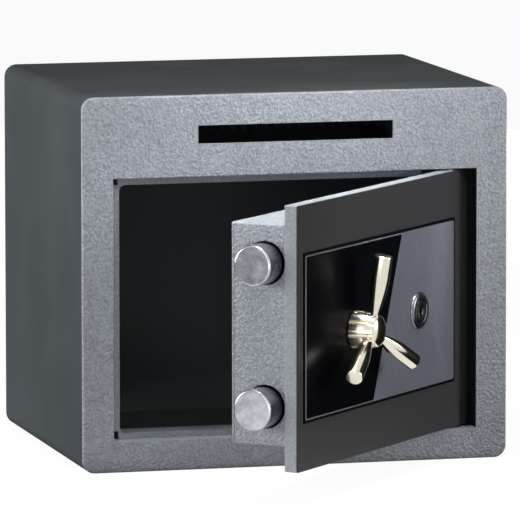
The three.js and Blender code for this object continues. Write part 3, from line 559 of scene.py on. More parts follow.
class Effect:
    """A shader node group that finishes place with their own values."""

    name = "effect"
    inputs: tuple[tuple[str, float], ...] = ()
    outputs: tuple[str, ...] = ()

    def group(self) -> bpy.types.NodeTree:
        """The node group, made the first time that it is asked for.

        Returns:
            The group.
        """
        known = bpy.data.node_groups.get(self.name)
        if known:
            return known
        made = bpy.data.node_groups.new(self.name, "ShaderNodeTree")
        made.interface.new_socket("Vector", in_out="INPUT", socket_type="NodeSocketVector")
        number = "NodeSocketFloat"
        for label, value in self.inputs:
            socket = made.interface.new_socket(label, in_out="INPUT", socket_type=number)
            socket.default_value = value
        for label in self.outputs:
            made.interface.new_socket(label, in_out="OUTPUT", socket_type=number)
        tree = Tree(made)
        self.fill(tree, tree.add("NodeGroupInput"), tree.add("NodeGroupOutput"))
        return made

    def fill(self, tree: Tree, given: bpy.types.Node, result: bpy.types.Node) -> None:
        """Builds the group's inside; each effect has its own."""
        raise NotImplementedError

    def use(self, tree: Tree, vector: bpy.types.NodeSocket, **values: float) -> bpy.types.Node:
        """Places the group in a material.

        Args:
            tree: the material's tree.
            vector: the coordinates that it reads.
            values: its inputs by name.

        Returns:
            The group node.
        """
        return tree.add("Group", node_tree=self.group(), Vector=vector, **values)


class HammeredSkin(Effect):
    """The dimpled skin of hammered paint: a tone that flickers and a height."""

    name = "hammered_skin"
    inputs = (("Grain", 620.0), ("Wander", 0.5))
    outputs = ("Tone", "Height")

    def fill(self, tree: Tree, given: bpy.types.Node, result: bpy.types.Node) -> None:
        """Builds soft cells broken up by two sizes of noise.

        Args:
            tree: the group's tree.
            given: the node of its inputs.
            result: the node of its outputs.
        """
        place = given.outputs["Vector"]
        grain = given.outputs["Grain"]
        grains = [tree.maths("MULTIPLY", grain, finer) for finer in (1.0, 1.35, 0.28)]
        cells = tree.add(
            "TexVoronoi", feature="SMOOTH_F1", Smoothness=0.6, Vector=place, Scale=grains[0]
        )
        dimples = tree.spread(cells.outputs["Distance"], 0.1, 0.7, 1.0, 0.0)
        flicker = tree.spread(tree.noise(place, grains[1], 3.0, 0.6), 0.38, 0.62, 0.0, 1.0)
        patches = tree.spread(tree.noise(place, grains[2], 2.0, 0.5), 0.35, 0.65, 0.0, 1.0)
        shares = ((flicker, 0.55), (dimples, 0.3), (patches, 0.15))
        first, second, third = [tree.maths("MULTIPLY", part, share) for part, share in shares]
        tone = tree.maths("ADD", tree.maths("ADD", first, second), third)
        rise = tree.maths("ADD", tree.maths("MULTIPLY", flicker, given.outputs["Wander"]), dimples)
        tree.give(result, Tone=tone, Height=rise)


class SoftMottle(Effect):
    """Broad, faint changes of tone, as thick paint and handled metal have."""

    name = "soft_mottle"
    inputs = (("Size", 14.0),)
    outputs = ("Tone",)

    def fill(self, tree: Tree, given: bpy.types.Node, result: bpy.types.Node) -> None:
        """Builds a slow noise laid over a slower one.

        Args:
            tree: the group's tree.
            given: the node of its inputs.
            result: the node of its outputs.
        """
        halves = []
        for share, detail, roughness in ((1.0, 4.0, 0.55), (0.35, 2.0, 0.5)):
            scale = tree.maths("MULTIPLY", given.outputs["Size"], share)
            noise = tree.noise(given.outputs["Vector"], scale, detail, roughness)
            halves.append(tree.maths("MULTIPLY", noise, 0.5))
        tree.give(result, Tone=tree.spread(tree.maths("ADD", *halves), 0.35, 0.65, 0.0, 1.0))


class FineMarks(Effect):
    """Hairlines along one way, for brushed, plated and handled metal."""

    name = "fine_marks"
    inputs = (("Density", 900.0), ("Stretch", 18.0))
    outputs = ("Mark", "Height")

    def fill(self, tree: Tree, given: bpy.types.Node, result: bpy.types.Node) -> None:
        """Builds a noise pulled out along the vertical.

        Args:
            tree: the group's tree.
            given: the node of its inputs.
            result: the node of its outputs.
        """
        x, y, z = tree.add("SeparateXYZ", Vector=given.outputs["Vector"]).outputs
        pressed = tree.maths("DIVIDE", z, given.outputs["Stretch"])
        pulled = tree.add("CombineXYZ", X=x, Y=y, Z=pressed).outputs[0]
        lines = tree.noise(pulled, given.outputs["Density"], 3.0, 0.7)
        tree.give(result, Mark=tree.spread(lines, 0.35, 0.65, 0.0, 1.0), Height=lines)


class GreaseFilm(Effect):
    """Painted shade that darkens a rod towards the hole that it slides in."""

    name = "painted_hole_shade"
    inputs = (("Clean", 0.0), ("Full", 1.0))
    outputs = ("Film",)
    along = OPENED.to_3x3() @ Vector((-1, 0, 0))

    def fill(self, tree: Tree, given: bpy.types.Node, result: bpy.types.Node) -> None:
        """Builds a ragged ramp between two stations along the rod.

        Args:
            tree: the group's tree.
            given: the node of its inputs.
            result: the node of its outputs.
        """
        place = given.outputs["Vector"]
        station = tree.add("VectorMath", operation="DOT_PRODUCT")
        tree.feed(station.inputs[0], place)
        tree.feed(station.inputs[1], self.along)
        wander = tree.maths("MULTIPLY", tree.noise(place, 90.0, 4.0, 0.6), 0.004)
        moved = tree.maths("ADD", station.outputs["Value"], wander)
        ramp = tree.add(
            "MapRange", interpolation_type="SMOOTHSTEP", Value=moved,
            From_Min=given.outputs["Clean"], From_Max=given.outputs["Full"],
        )
        tree.give(result, Film=ramp.outputs["Result"])


class DustAndTopSheen(Effect):
    """A thin pale veil on what faces up: settled dust, and a painted highlight of light from above.
    """

    name = "dust_and_top_sheen"
    inputs = (("Amount", 0.2),)
    outputs = ("Veil",)

    def fill(self, tree: Tree, given: bpy.types.Node, result: bpy.types.Node) -> None:
        """Builds a patchy mask from the surface's slope and noise.

        Args:
            tree: the group's tree.
            given: the node of its inputs.
            result: the node of its outputs.
        """
        slope = tree.add("SeparateXYZ", Vector=tree.add("NewGeometry").outputs["Normal"])
        up = tree.spread(slope.outputs[2], 0.55, 1.0, 0.0, 1.0)
        patch = tree.noise(given.outputs["Vector"], 22.0, 6.0, 0.65)
        ragged = tree.spread(patch, 0.42, 0.72, 0.15, 1.0)
        dust_sheen_veil = tree.maths("MULTIPLY", tree.maths("MULTIPLY", up, ragged), given.outputs["Amount"])
        tree.give(result, Veil=dust_sheen_veil)


@dataclass(frozen=True)
class Finish:
    """A finish with its record slot; each kind lays out its own nodes."""

    name: str
    slot: str

    def material(self) -> bpy.types.Material:
        """The finish as a material, made once.

        Returns:
            The material.
        """
        label = f"{self.name}_finish"
        known = bpy.data.materials.get(label)
        if known:
            return known
        made = bpy.data.materials.new(label)
        tree = Tree.of(made)
        surface = tree.add("BsdfPrincipled")
        tree.end("OutputMaterial", surface.outputs[0])
        self.dress(tree, surface, tree.add("TexCoord").outputs["Object"])
        return made

    def dress(self, tree: Tree, surface: bpy.types.Node, coords: bpy.types.NodeSocket) -> None:
        """Sets the shader of this finish; each kind has its own.

        Args:
            tree: the material's tree.
            surface: its Principled shader.
            coords: the object coordinates.
        """
        raise NotImplementedError

    def relief_of(
        self, tree: Tree, height: bpy.types.NodeSocket, strength: float, depth: float
    ) -> bpy.types.NodeSocket:
        """The normal that a height gives the surface.

        Args:
            tree: the material's tree.
            height: the height socket.
            strength: how strongly it shows, from 0 to 1.
            depth: the relief in millimetres.

        Returns:
            The normal's socket.
        """
        return tree.add("Bump", Strength=strength, Distance=depth * MM, Height=height).outputs[0]


@dataclass(frozen=True)
class HammeredPaint(Finish):
    """Silver-grey paint that dries into small dimples, with a painted highlight on what faces up.
    """

    light: str = "b6bcc4"
    dark: str = "888d94"
    grime: Colour = (0.05, 0.055, 0.06, 1)
    grime_share: float = 0.16
    # The colour of the pale veil on what faces up: dust and a painted highlight of light from
    # above.
    dust_and_sheen: Colour = (0.5, 0.5, 0.48, 1)
    grain: float = 390.0
    relief: float = 0.42
    roughness: float = 0.42

    def dress(self, tree: Tree, surface: bpy.types.Node, coords: bpy.types.NodeSocket) -> None:
        """Flickers between two greys, dimples the surface and lays a pale veil on what faces up:
        dust and a painted highlight.

        Args:
            tree: the material's tree.
            surface: its Principled shader.
            coords: the object coordinates.
        """
        skin = HammeredSkin().use(tree, coords, Grain=self.grain, Wander=0.6).outputs
        mottle = SoftMottle().use(tree, coords, Size=9.0).outputs["Tone"]
        # Painted highlight: a pale veil lightens what faces up, as light from above would; it
        # stands for dust too.
        dust_sheen_veil = DustAndTopSheen().use(tree, coords, Amount=0.12).outputs["Veil"]
        base = tree.blend(skin["Tone"], sheen_colour(self.dark), sheen_colour(self.light))
        worn = tree.blend(tree.level(mottle, 0.0, self.grime_share), base, self.grime)
        tree.give(
            surface, Base_Color=tree.blend(dust_sheen_veil, worn, self.dust_and_sheen), Metallic=0.15,
            Specular_IOR_Level=0.4,
            Roughness=tree.level(skin["Tone"], self.roughness + 0.1, self.roughness - 0.06),
            Coat_Weight=0.2, Coat_Roughness=0.2,
            Normal=self.relief_of(tree, skin["Height"], 0.8, self.relief),
        )


@dataclass(frozen=True)
class SmoothPaint(Finish):
    """Even semi-gloss or satin paint with a faint orange peel."""

    colour: str = "4a5052"
    roughness: float = 0.4
    peel: float = 0.05
    specular: float = 0.3
    dust_and_sheen: float = 0.1
    dust_colour: Colour = (0.42, 0.42, 0.41, 1)

    def dress(self, tree: Tree, surface: bpy.types.Node, coords: bpy.types.NodeSocket) -> None:
        """Lays an even colour with broad mottling, dust and peel.

        Args:
            tree: the material's tree.
            surface: its Principled shader.
            coords: the object coordinates.
        """
        mottle = SoftMottle().use(tree, coords, Size=12.0).outputs["Tone"]
        dust_sheen_veil = DustAndTopSheen().use(tree, coords, Amount=self.dust_and_sheen).outputs["Veil"]
        tone = tree.blend(mottle, toned(self.colour, 0.86), sheen_colour(self.colour))
        peel = tree.noise(coords, 420.0, 2.0, 0.5)
        tree.give(
            surface, Base_Color=tree.blend(dust_sheen_veil, tone, self.dust_colour),
            Roughness=tree.level(mottle, self.roughness - 0.04, self.roughness + 0.05),
            Specular_IOR_Level=self.specular, Normal=self.relief_of(tree, peel, 0.3, self.peel),
        )


@dataclass(frozen=True)
class Metal(Finish):
    """Bare or plated metal with hairlines and handling marks."""

    colour: str = "d8d6d0"
    roughness: float = 0.12
    marks: float = 0.05
    relief: float = 0.004

    def dress(self, tree: Tree, surface: bpy.types.Node, coords: bpy.types.NodeSocket) -> None:
        """Lays the metal's colour and breaks its gloss with marks.

        Args:
            tree: the material's tree.
            surface: its Principled shader.
            coords: the object coordinates.
        """
        lines = FineMarks().use(tree, coords, Density=700.0, Stretch=14.0).outputs
        mottle = SoftMottle().use(tree, coords, Size=45.0).outputs["Tone"]
        wear = tree.maths("MULTIPLY", lines["Mark"], mottle)
        tree.give(
            surface,
            Base_Color=tree.blend(mottle, toned(self.colour, 0.88), sheen_colour(self.colour)),
            Roughness=tree.level(wear, self.roughness, self.roughness + self.marks), Metallic=1.0,
            Normal=self.relief_of(tree, lines["Height"], 0.4, self.relief),
        )


@dataclass(frozen=True)
class SlidingChrome(Finish):
    """Worn plating on a bolt, with painted shade that darkens it towards the hole that it slides
    in.
    """

    colour: str = "ccd0d6"
    # The near black of the painted shade at the hole.
    hole_shade_colour: Colour = (0.02, 0.021, 0.022, 1)
    roughness: float = 0.18
    # Stations along the bolt, in metres, where the painted shade begins and where it is darkest.
    shade_begins: float = 0.290
    full: float = 0.2755

    def dress(self, tree: Tree, surface: bpy.types.Node, coords: bpy.types.NodeSocket) -> None:
        """Lays clouded metal with painted shade that darkens it towards the hole.

        Args:
            tree: the material's tree.
            surface: its Principled shader.
            coords: the object coordinates.
        """
        cloud = SoftMottle().use(tree, coords, Size=170.0).outputs["Tone"]
        lines = FineMarks().use(tree, coords, Density=900.0, Stretch=10.0).outputs
        # Painted shade: a mask that darkens the bolt towards the hole, where shade falls.
        hole_shade_ramp = GreaseFilm().use(tree, coords, Clean=self.shade_begins, Full=self.full).outputs["Film"]
        base = tree.blend(cloud, toned(self.colour, 0.64), sheen_colour(self.colour))
        tree.give(
            surface, Base_Color=tree.blend(hole_shade_ramp, base, self.hole_shade_colour), Metallic=1.0,
            Roughness=tree.level(cloud, self.roughness, self.roughness + 0.12),
            Normal=self.relief_of(tree, lines["Height"], 0.3, 0.004),
        )


@dataclass(frozen=True)
class SilverLacquer(Finish):
    """The satin silver plate under the lock, faintly brushed down its height."""

    colour: str = "80838f"
    roughness: float = 0.32

    def dress(self, tree: Tree, surface: bpy.types.Node, coords: bpy.types.NodeSocket) -> None:
        """Lays a silver colour with fine vertical brushing.

        Args:
            tree: the material's tree.
            surface: its Principled shader.
            coords: the object coordinates.
        """
        lines = FineMarks().use(tree, coords, Density=1500.0, Stretch=30.0).outputs
        mottle = SoftMottle().use(tree, coords, Size=20.0).outputs["Tone"]
        share = tree.maths("MULTIPLY", tree.maths("ADD", lines["Mark"], mottle), 0.5)
        tree.give(
            surface,
            Base_Color=tree.blend(share, toned(self.colour, 0.84), sheen_colour(self.colour)),
            Roughness=tree.level(lines["Mark"], self.roughness - 0.05, self.roughness + 0.07),
            Metallic=0.1, Coat_Weight=0.3, Coat_Roughness=0.12,
            Normal=self.relief_of(tree, lines["Height"], 0.25, 0.004),
        )


@dataclass(frozen=True)
class PolishedBlack(Finish):
    """Polished black that carries a trace of wiped dust."""

    colour: str = "08090c"
    roughness: float = 0.24

    def dress(self, tree: Tree, surface: bpy.types.Node, coords: bpy.types.NodeSocket) -> None:
        """Lays a near black with a very slight change of gloss.

        Args:
            tree: the material's tree.
            surface: its Principled shader.
            coords: the object coordinates.
        """
        mottle = SoftMottle().use(tree, coords, Size=26.0).outputs["Tone"]
        tree.give(
            surface,
            Base_Color=tree.blend(mottle, sheen_colour(self.colour), toned(self.colour, 1.7)),
            Roughness=tree.level(mottle, self.roughness, self.roughness + 0.05),
            Specular_IOR_Level=0.03,
        )


@dataclass(frozen=True)
class Moulded(Finish):
    """Moulded plastic, rubber or felt, dull and slightly uneven."""

    colour: str = "16171a"
    roughness: float = 0.6
    grain: float = 900.0
    relief: float = 0.03
    ribs: float = 0.0
    specular: float = 0.5

    def dress(self, tree: Tree, surface: bpy.types.Node, coords: bpy.types.NodeSocket) -> None:
        """Lays a dark colour with a fine moulded grain, and ribs on a mat.

        Args:
            tree: the material's tree.
            surface: its Principled shader.
            coords: the object coordinates.
        """
        noise = tree.noise(coords, self.grain, 3.0, 0.6)
        height = noise
        if self.ribs > 0:
            wave = tree.add("TexWave", Vector=coords, Scale=self.ribs, Distortion=0.0)
            height = tree.maths("ADD", tree.maths("MULTIPLY", wave.outputs["Fac"], 4.0), noise)
        tree.give(
            surface,
            Base_Color=tree.blend(noise, sheen_colour(self.colour), toned(self.colour, 1.5)),
            Roughness=tree.spread(noise, 0.3, 0.7, self.roughness - 0.05, self.roughness + 0.08),
            Specular_IOR_Level=self.specular, Normal=self.relief_of(tree, height, 0.6, self.relief),
        )


BODY_PAINT = SmoothPaint("body_paint", "body_paint", roughness=0.36)
HAMMER_PAINT = HammeredPaint("hammer_paint", "hammer_paint")
# A darker copy of the hammered paint for the recessed door stop: painted shade.
SHADED_REBATE_PAINT = HammeredPaint("shaded_rebate_paint", "hammer_paint", "949aa0", "777c82", relief=0.1)
# A lighter copy of the hammered paint for the door plate: painted light on its top and edges.
LIT_PLATE_PAINT = HammeredPaint("lit_plate_paint", "hammer_paint", "bcc2ca", "9da2a9", relief=0.14)
# Near black for the reveal's hinge side: painted shade.
HINGE_SHADE = SmoothPaint("painted_hinge_shade", "hammer_paint", "17181b", 0.8, specular=0.1, dust_and_sheen=0.0)
FASCIA_PAINT = SmoothPaint("fascia_paint", "fascia_paint", "3b3b3d", 0.5, specular=0.18, dust_and_sheen=0.0)
PANEL_SILVER = SilverLacquer("panel_silver", "panel_silver")
BLACK_GLOSS = PolishedBlack("black_gloss", "black_gloss")
CHROME = Metal("chrome", "chrome", "e4decd")
BOLT_CHROME = SlidingChrome("bolt_chrome", "chrome")
LOCK_CHROME = Metal("lock_chrome", "chrome", "7d7e84", roughness=0.26, marks=0.08)
ZINC = Metal("zinc", "zinc", "a9acb0", roughness=0.3, marks=0.15)
PLAIN_STEEL = Metal("plain_steel", "plain_steel", "83868a", roughness=0.4, marks=0.15, relief=0.01)
DARK_STEEL = SmoothPaint("dark_steel", "plain_steel", "3c3e42", 0.6, specular=0.1, dust_and_sheen=0.0)
COMB_STEEL = SmoothPaint("comb_steel", "plain_steel", "2a2c2f", 0.7, specular=0.05, dust_and_sheen=0.0)
BRASS = Metal("brass", "brass", "b59555", roughness=0.3, marks=0.12)
OILED_BRONZE = Metal("oiled_bronze", "brass", "5a4a30", roughness=0.5, marks=0.1)
BLACK_PLASTIC = Moulded("black_plastic", "black_plastic")
# A real rubber gasket whose matte near black is also painted shade for the groove's shadow line.
SHADOW_LINE_RUBBER = Moulded("shadow_line_rubber", "black_plastic", "050506", roughness=0.9, specular=0.06)
MAT_FELT = Moulded("mat_felt", "mat_felt", "1b1c1e", 0.92, grain=2400.0, relief=0.25, ribs=55.0)


# Cabinet


@dataclass
class Cabinet:
    """The wrapped body with its front frame, door stop and back."""

    width: float = 350
    height: float = 300
    depth: float = 280
    wall: float = 4
    face: float = 3
    bend: float = 10
    edge_round: float = 1.6
    opening: Sides = (-149.5, 149.5, 25, 235)
    slot: Sides = (-80, 80, 261, 275.5)
    reveal_depth: float = 12.5
    reveal_wall: float = 3
    pin_margin: float = 10
    lip: float = 7.6
    lip_top: float = 6.5
    lip_bottom: float = 4.5
    notch: float = 6.5
    window_round: float = 5
    stop_thickness: float = 3
    stop_end: float = 107.15
    stop_return: float = 22
    ledge_bite: float = 0.5
    anchor_radius: float = 6
    plug_head: float = 9
    plug_flange: float = 2
    base_anchors: tuple[Spot, ...] = ((-95, 140), (95, 140))
    back_anchors: tuple[Spot, ...] = ((-95, 160), (95, 160))

    def slab(self, start: float, end: float) -> bmesh.types.BMesh:
        """The body's rounded outline between two depths.

        Args:
            start: the nearer depth.
            end: the farther one.

        Returns:
            The closed shape.
        """
        half = self.width / 2
        shape = block((-half, start, 0), (half, end, self.height))
        return bevelled(shape, runs_along(Axis.Y), self.bend, 12)

    def wrap(self) -> Piece:
        """The bent sheet that makes the top, the sides and the base.

        Returns:
            The piece.
        """
        start, end = self.face, self.depth - self.wall
        half, wall = self.width / 2, self.wall
        hollow = block(
            (-half + wall, start - OVER, wall), (half - wall, end + OVER, self.height - wall)
        )
        bevelled(hollow, runs_along(Axis.Y), self.bend - wall, 10)
        holes = [
            rod(self.anchor_radius, -OVER, wall + OVER, Axis.Z, (x, y, 0))
            for x, y in self.base_anchors
        ]
        shape = combined(self.slab(start, end), [hollow, *holes])
        return Piece("wrapped_body", shape, CABINET, BODY_PAINT, ("body_wrap",))

    def back(self) -> Piece:
        """The back plate with its rounded rear edge and two anchor holes.

        Returns:
            The piece.
        """
        start, end = self.depth - self.wall, self.depth
        shape = bevelled(self.slab(start, end), lies_at(Axis.Y, end), self.edge_round, 4)
        holes = [
            rod(self.anchor_radius, start - OVER, end + OVER, Axis.Y, (x, 0, z))
            for x, z in self.back_anchors
        ]
        return Piece("rear_plate", combined(shape, holes), CABINET, BODY_PAINT, ("back_plate",))

    def front(self) -> Piece:
        """The hammered front frame with the door opening, its reveal and the slot.

        Returns:
            The piece.
        """
        shape = bevelled(self.slab(0, self.face), lies_at(Axis.Y, 0), self.edge_round, 5)
        x0, x1, z0, z1 = self.opening
        wall = self.reveal_wall
        reveal = block(
            (x0 - wall, self.face / 2, z0 - wall), (x1 + wall, self.reveal_depth, z1 + wall)
        )
        shape = combined(shape, [reveal], "UNION")
        s0, s1, w0, w1 = self.slot
        pins = self.pin_margin, self.height - self.pin_margin
        cuts = [
            block((x0, -OVER, z0), (x1, THROUGH, z1)),
            block((s0, -OVER, w0), (s1, THROUGH, w1)),
            rod(PIN_BORE, *pins, Axis.Z, (HINGE_X, HINGE_Y, 0)),
        ]

        def beside_hinge(face: bmesh.types.BMFace) -> bool:
            """Whether a face is on the reveal's hinge side, which takes a near-black painted shade.
            """
            beside = abs(face.calc_center_median().x - x1 * MM) < 100 * WELD
            return beside and face.normal.x < -0.9

        return Piece(
            "hammered_front", combined(shape, cuts), CABINET, HAMMER_PAINT, ("front_frame",),
            edge=0.5, hinge_shade_test=beside_hinge,
        )

    def stop(self) -> Piece:
        """The flange that the door closes against, with its returns.

        Returns:
            The piece.
        """
        x0, x1, z0, z1 = self.opening
        y0, y1 = self.reveal_depth, self.reveal_depth + self.stop_thickness
        low, high = z0 + self.lip_bottom, z1 - self.lip_top
        wall, sheet, cut = self.reveal_wall, self.stop_thickness, self.notch
        plate = block((x0 - wall, y0, z0 - wall), (self.stop_end, y1, z1 + wall))
        window = block((x0 + self.lip, y0 - OVER, low), (x1, y1 + OVER, high))
        bevelled(window, runs_along(Axis.Y), self.window_round, 6)
        corners = [
            block((x0, y0 - OVER, z), (x0 + cut, y1 + OVER, z + cut)) for z in (z0, z1 - cut)
        ]
        shape = combined(plate, [window, *corners])
        start, deep = x0 + self.lip + self.window_round, y1 + self.stop_return
        ledges = [
            block((start, y0 + self.ledge_bite, z), (self.stop_end, deep, z + sheet))
            for z in (low - sheet, high)
        ]
        shape = combined(shape, ledges, "UNION")
        # The stop wears the darker copy of the hammered paint, which is painted shade.
        return Piece("door_rebate", shape, CABINET, SHADED_REBATE_PAINT, ("door_stop",), edge=0.4)

    def plugs(self) -> list[Piece]:
        """The four plastic plugs that close the anchor holes from inside.

        Returns:
            The two plugs of the base, then the two of the back.
        """
        stem, head, wall = self.anchor_radius - FIT, self.plug_head, self.wall
        under = wall + self.plug_flange
        inward = [(0, FIT), (stem - 0.6, FIT), (stem, FIT + 0.6), (stem, wall), (head, wall)]
        inward += [(head, under - 0.8), (head - 0.8, under), (0, under)]
        forward = [(radius, self.depth - place) for radius, place in reversed(inward)]
        spots = [("base", "base", inward, Axis.Z, (x, y, 0)) for x, y in self.base_anchors]
        spots += [("rear", "back", forward, Axis.Y, (x, 0, z)) for x, z in self.back_anchors]
        made = []
        for (name, node, profile, axis, at), side in zip(spots, ("left", "right") * 2):
            shape = turned(profile, axis, at, 40)
            replaced = (f"{node}_anchor_plug_{side}",)
            made.append(Piece(f"{name}_plug_{side}", shape, CABINET, BLACK_PLASTIC, replaced))
        return made

    def build(self) -> list[Piece]:
        """Every new piece of the cabinet."""
        return [self.wrap(), self.back(), self.front(), self.stop(), *self.plugs()]


# Door


@dataclass
class Door:
    """The plate, its charcoal skin and the pan behind it, in the closed place."""

    left: float = -146.5
    right: float = 146.5
    bottom: float = 26.5
    top: float = 233.5
    thickness: float = 12
    skin: float = 1.2
    chamfer: float = 0.8
    pin_deep: float = 19
    bush_bore: float = 7.7
    pan: Sides = (-132.5, 118, 43.5, 216.5)
    pan_back: float = 63.0
    pan_wall: float = 2
    pan_round: float = 1.6
    tab: float = 12
    tab_wall: float = 4
    lid: float = 2
    screw_inset: float = 7
    hole_radius: float = 17.2
    panel: "LockPanel" = field(default_factory=lambda: LockPanel())

    def plate(self) -> Piece:
        """The steel plate, hammered on its edges and back.

        Returns:
            The piece.
        """
        start = self.skin + FIT
        shape = block((self.left, start, self.bottom), (self.right, self.thickness, self.top))
        pin_axis = (HINGE_X, HINGE_Y, 0)
        bores = [
            rod(PIN_BORE, self.bottom - OVER, self.bottom + self.pin_deep, Axis.Z, pin_axis, 32),
            rod(PIN_BORE, self.top - self.pin_deep, self.top + OVER, Axis.Z, pin_axis, 32),
            rod(self.bush_bore, 0, THROUGH, Axis.Y, SPINDLE),
            rod(BARREL_BORE, 0, THROUGH, Axis.Y, LOCK),
        ]
        return Piece(
            "steel_door", combined(shape, bores), DOOR, LIT_PLATE_PAINT, ("door_plate",),
            edge=self.chamfer, edge_segments=3,
        )

    def fascia(self) -> Piece:
        """The thin charcoal skin with the window for the lock panel.

        Returns:
            The piece.
        """
        shape = block((self.left, 0, self.bottom), (self.right, self.skin, self.top))
        x0, x1, z0, z1 = self.panel.outline
        g = self.panel.groove
        window = block((x0 - g, -OVER, z0 - g), (x1 + g, OVER, z1 + g))
        shape = combined(shape, [window])
        return Piece("door_skin", shape, DOOR, FASCIA_PAINT, ("door_fascia",), edge=0.35)

    def box(self) -> Piece:
        """The folded pan that the bolts pass through.

        Returns:
            The piece.
        """
        x0, x1, z0, z1 = self.pan
        y0, y1, t = self.thickness + FIT, self.pan_back, self.pan_wall
        shape = bevelled(block((x0, y0, z0), (x1, y1, z1)), runs_along(Axis.Y), self.pan_round, 4)
        inner = block((x0 + t, y0 - OVER, z0 + t), (x1 - t, y1 + OVER, z1 - t))
        holes = [
            rod(self.hole_radius, x0 - OVER, x0 + OVER, Axis.X, (0, BOLT_Y, z), 64)
            for z in BOLT_LEVELS.values()
        ]
        shape = combined(shape, [inner, *holes])
        begin, end = y1 - self.tab_wall, y1 - 0.01  # short of the rim, so no two faces coincide
        tabs = [
            block((x, begin, z), (x + self.tab, end, z + self.tab))
            for x in (x0 + t / 2, x1 - t / 2 - self.tab)
            for z in (z0 + t / 2, z1 - t / 2 - self.tab)
        ]
        shape = combined(shape, tabs, "UNION")
        return Piece("bolt_pan", shape, DOOR, HAMMER_PAINT, ("door_pan",), edge=0.4)

    def cover(self) -> list[Piece]:
        """The pan's back cover and its four cross-headed screws.

        Returns:
            The cover, then its screws.
        """
        x0, x1, z0, z1 = self.pan
        y0, inset = self.pan_back + FIT, self.screw_inset
        y1 = y0 + self.lid
        lid = bevelled(block((x0, y0, z0), (x1, y1, z1)), runs_along(Axis.Y), 2, 5)
        made = [Piece("pan_lid", lid, DOOR, HAMMER_PAINT, ("pan_cover",), edge=0.5)]
        spots = [(x, 0, z) for x in (x0 + inset, x1 - inset) for z in (z0 + inset, z1 - inset)]
        for i, spot in enumerate(spots, 1):
            made.append(CrossScrew(y1 + FIT).piece(f"lid_screw_{i}", spot, (f"cover_screw_{i}",)))
        return made

    def build(self) -> list[Piece]:
        """Every new piece of the door."""
        return [self.plate(), self.fascia(), self.box(), *self.cover(), *self.panel.build()]


@dataclass
class CrossScrew:
    """A pan-head screw with a cross recess, driven from behind the door."""

    under: float
    radius: float = 4
    head: float = 2.4
    rim: float = 0.7
    shank: float = 2
    sunk: float = 6
    arm: float = 2.2
    blade: float = 0.45
    recess: float = 1.3

    def piece(self, name: str, at: Point, stands_for: tuple[str, ...]) -> Piece:
        """The screw at a place on the door.

        Args:
            name: the piece's name.
            at: a point of its axis, in the closed place.
            stands_for: the CAD screw that it replaces.

        Returns:
            The screw.
        """
        top, tip = self.under + self.head, self.under - self.sunk
        profile = [(0, tip), (self.shank - 0.4, tip), (self.shank, tip + 0.6)]
        profile += [(self.shank, self.under), (self.radius, self.under)]
        profile += quarter((0, self.under + self.rim), self.radius, self.head - self.rim, 5)
        x, _, z = at
        low, high = top - self.recess, top + 1
        bars = [
            block((x - across, low, z - up), (x + across, high, z + up))
            for across, up in ((self.arm, self.blade), (self.blade, self.arm))
        ]
        return Piece(name, combined(turned(profile, Axis.Y, at, 32), bars), DOOR, ZINC, stands_for)


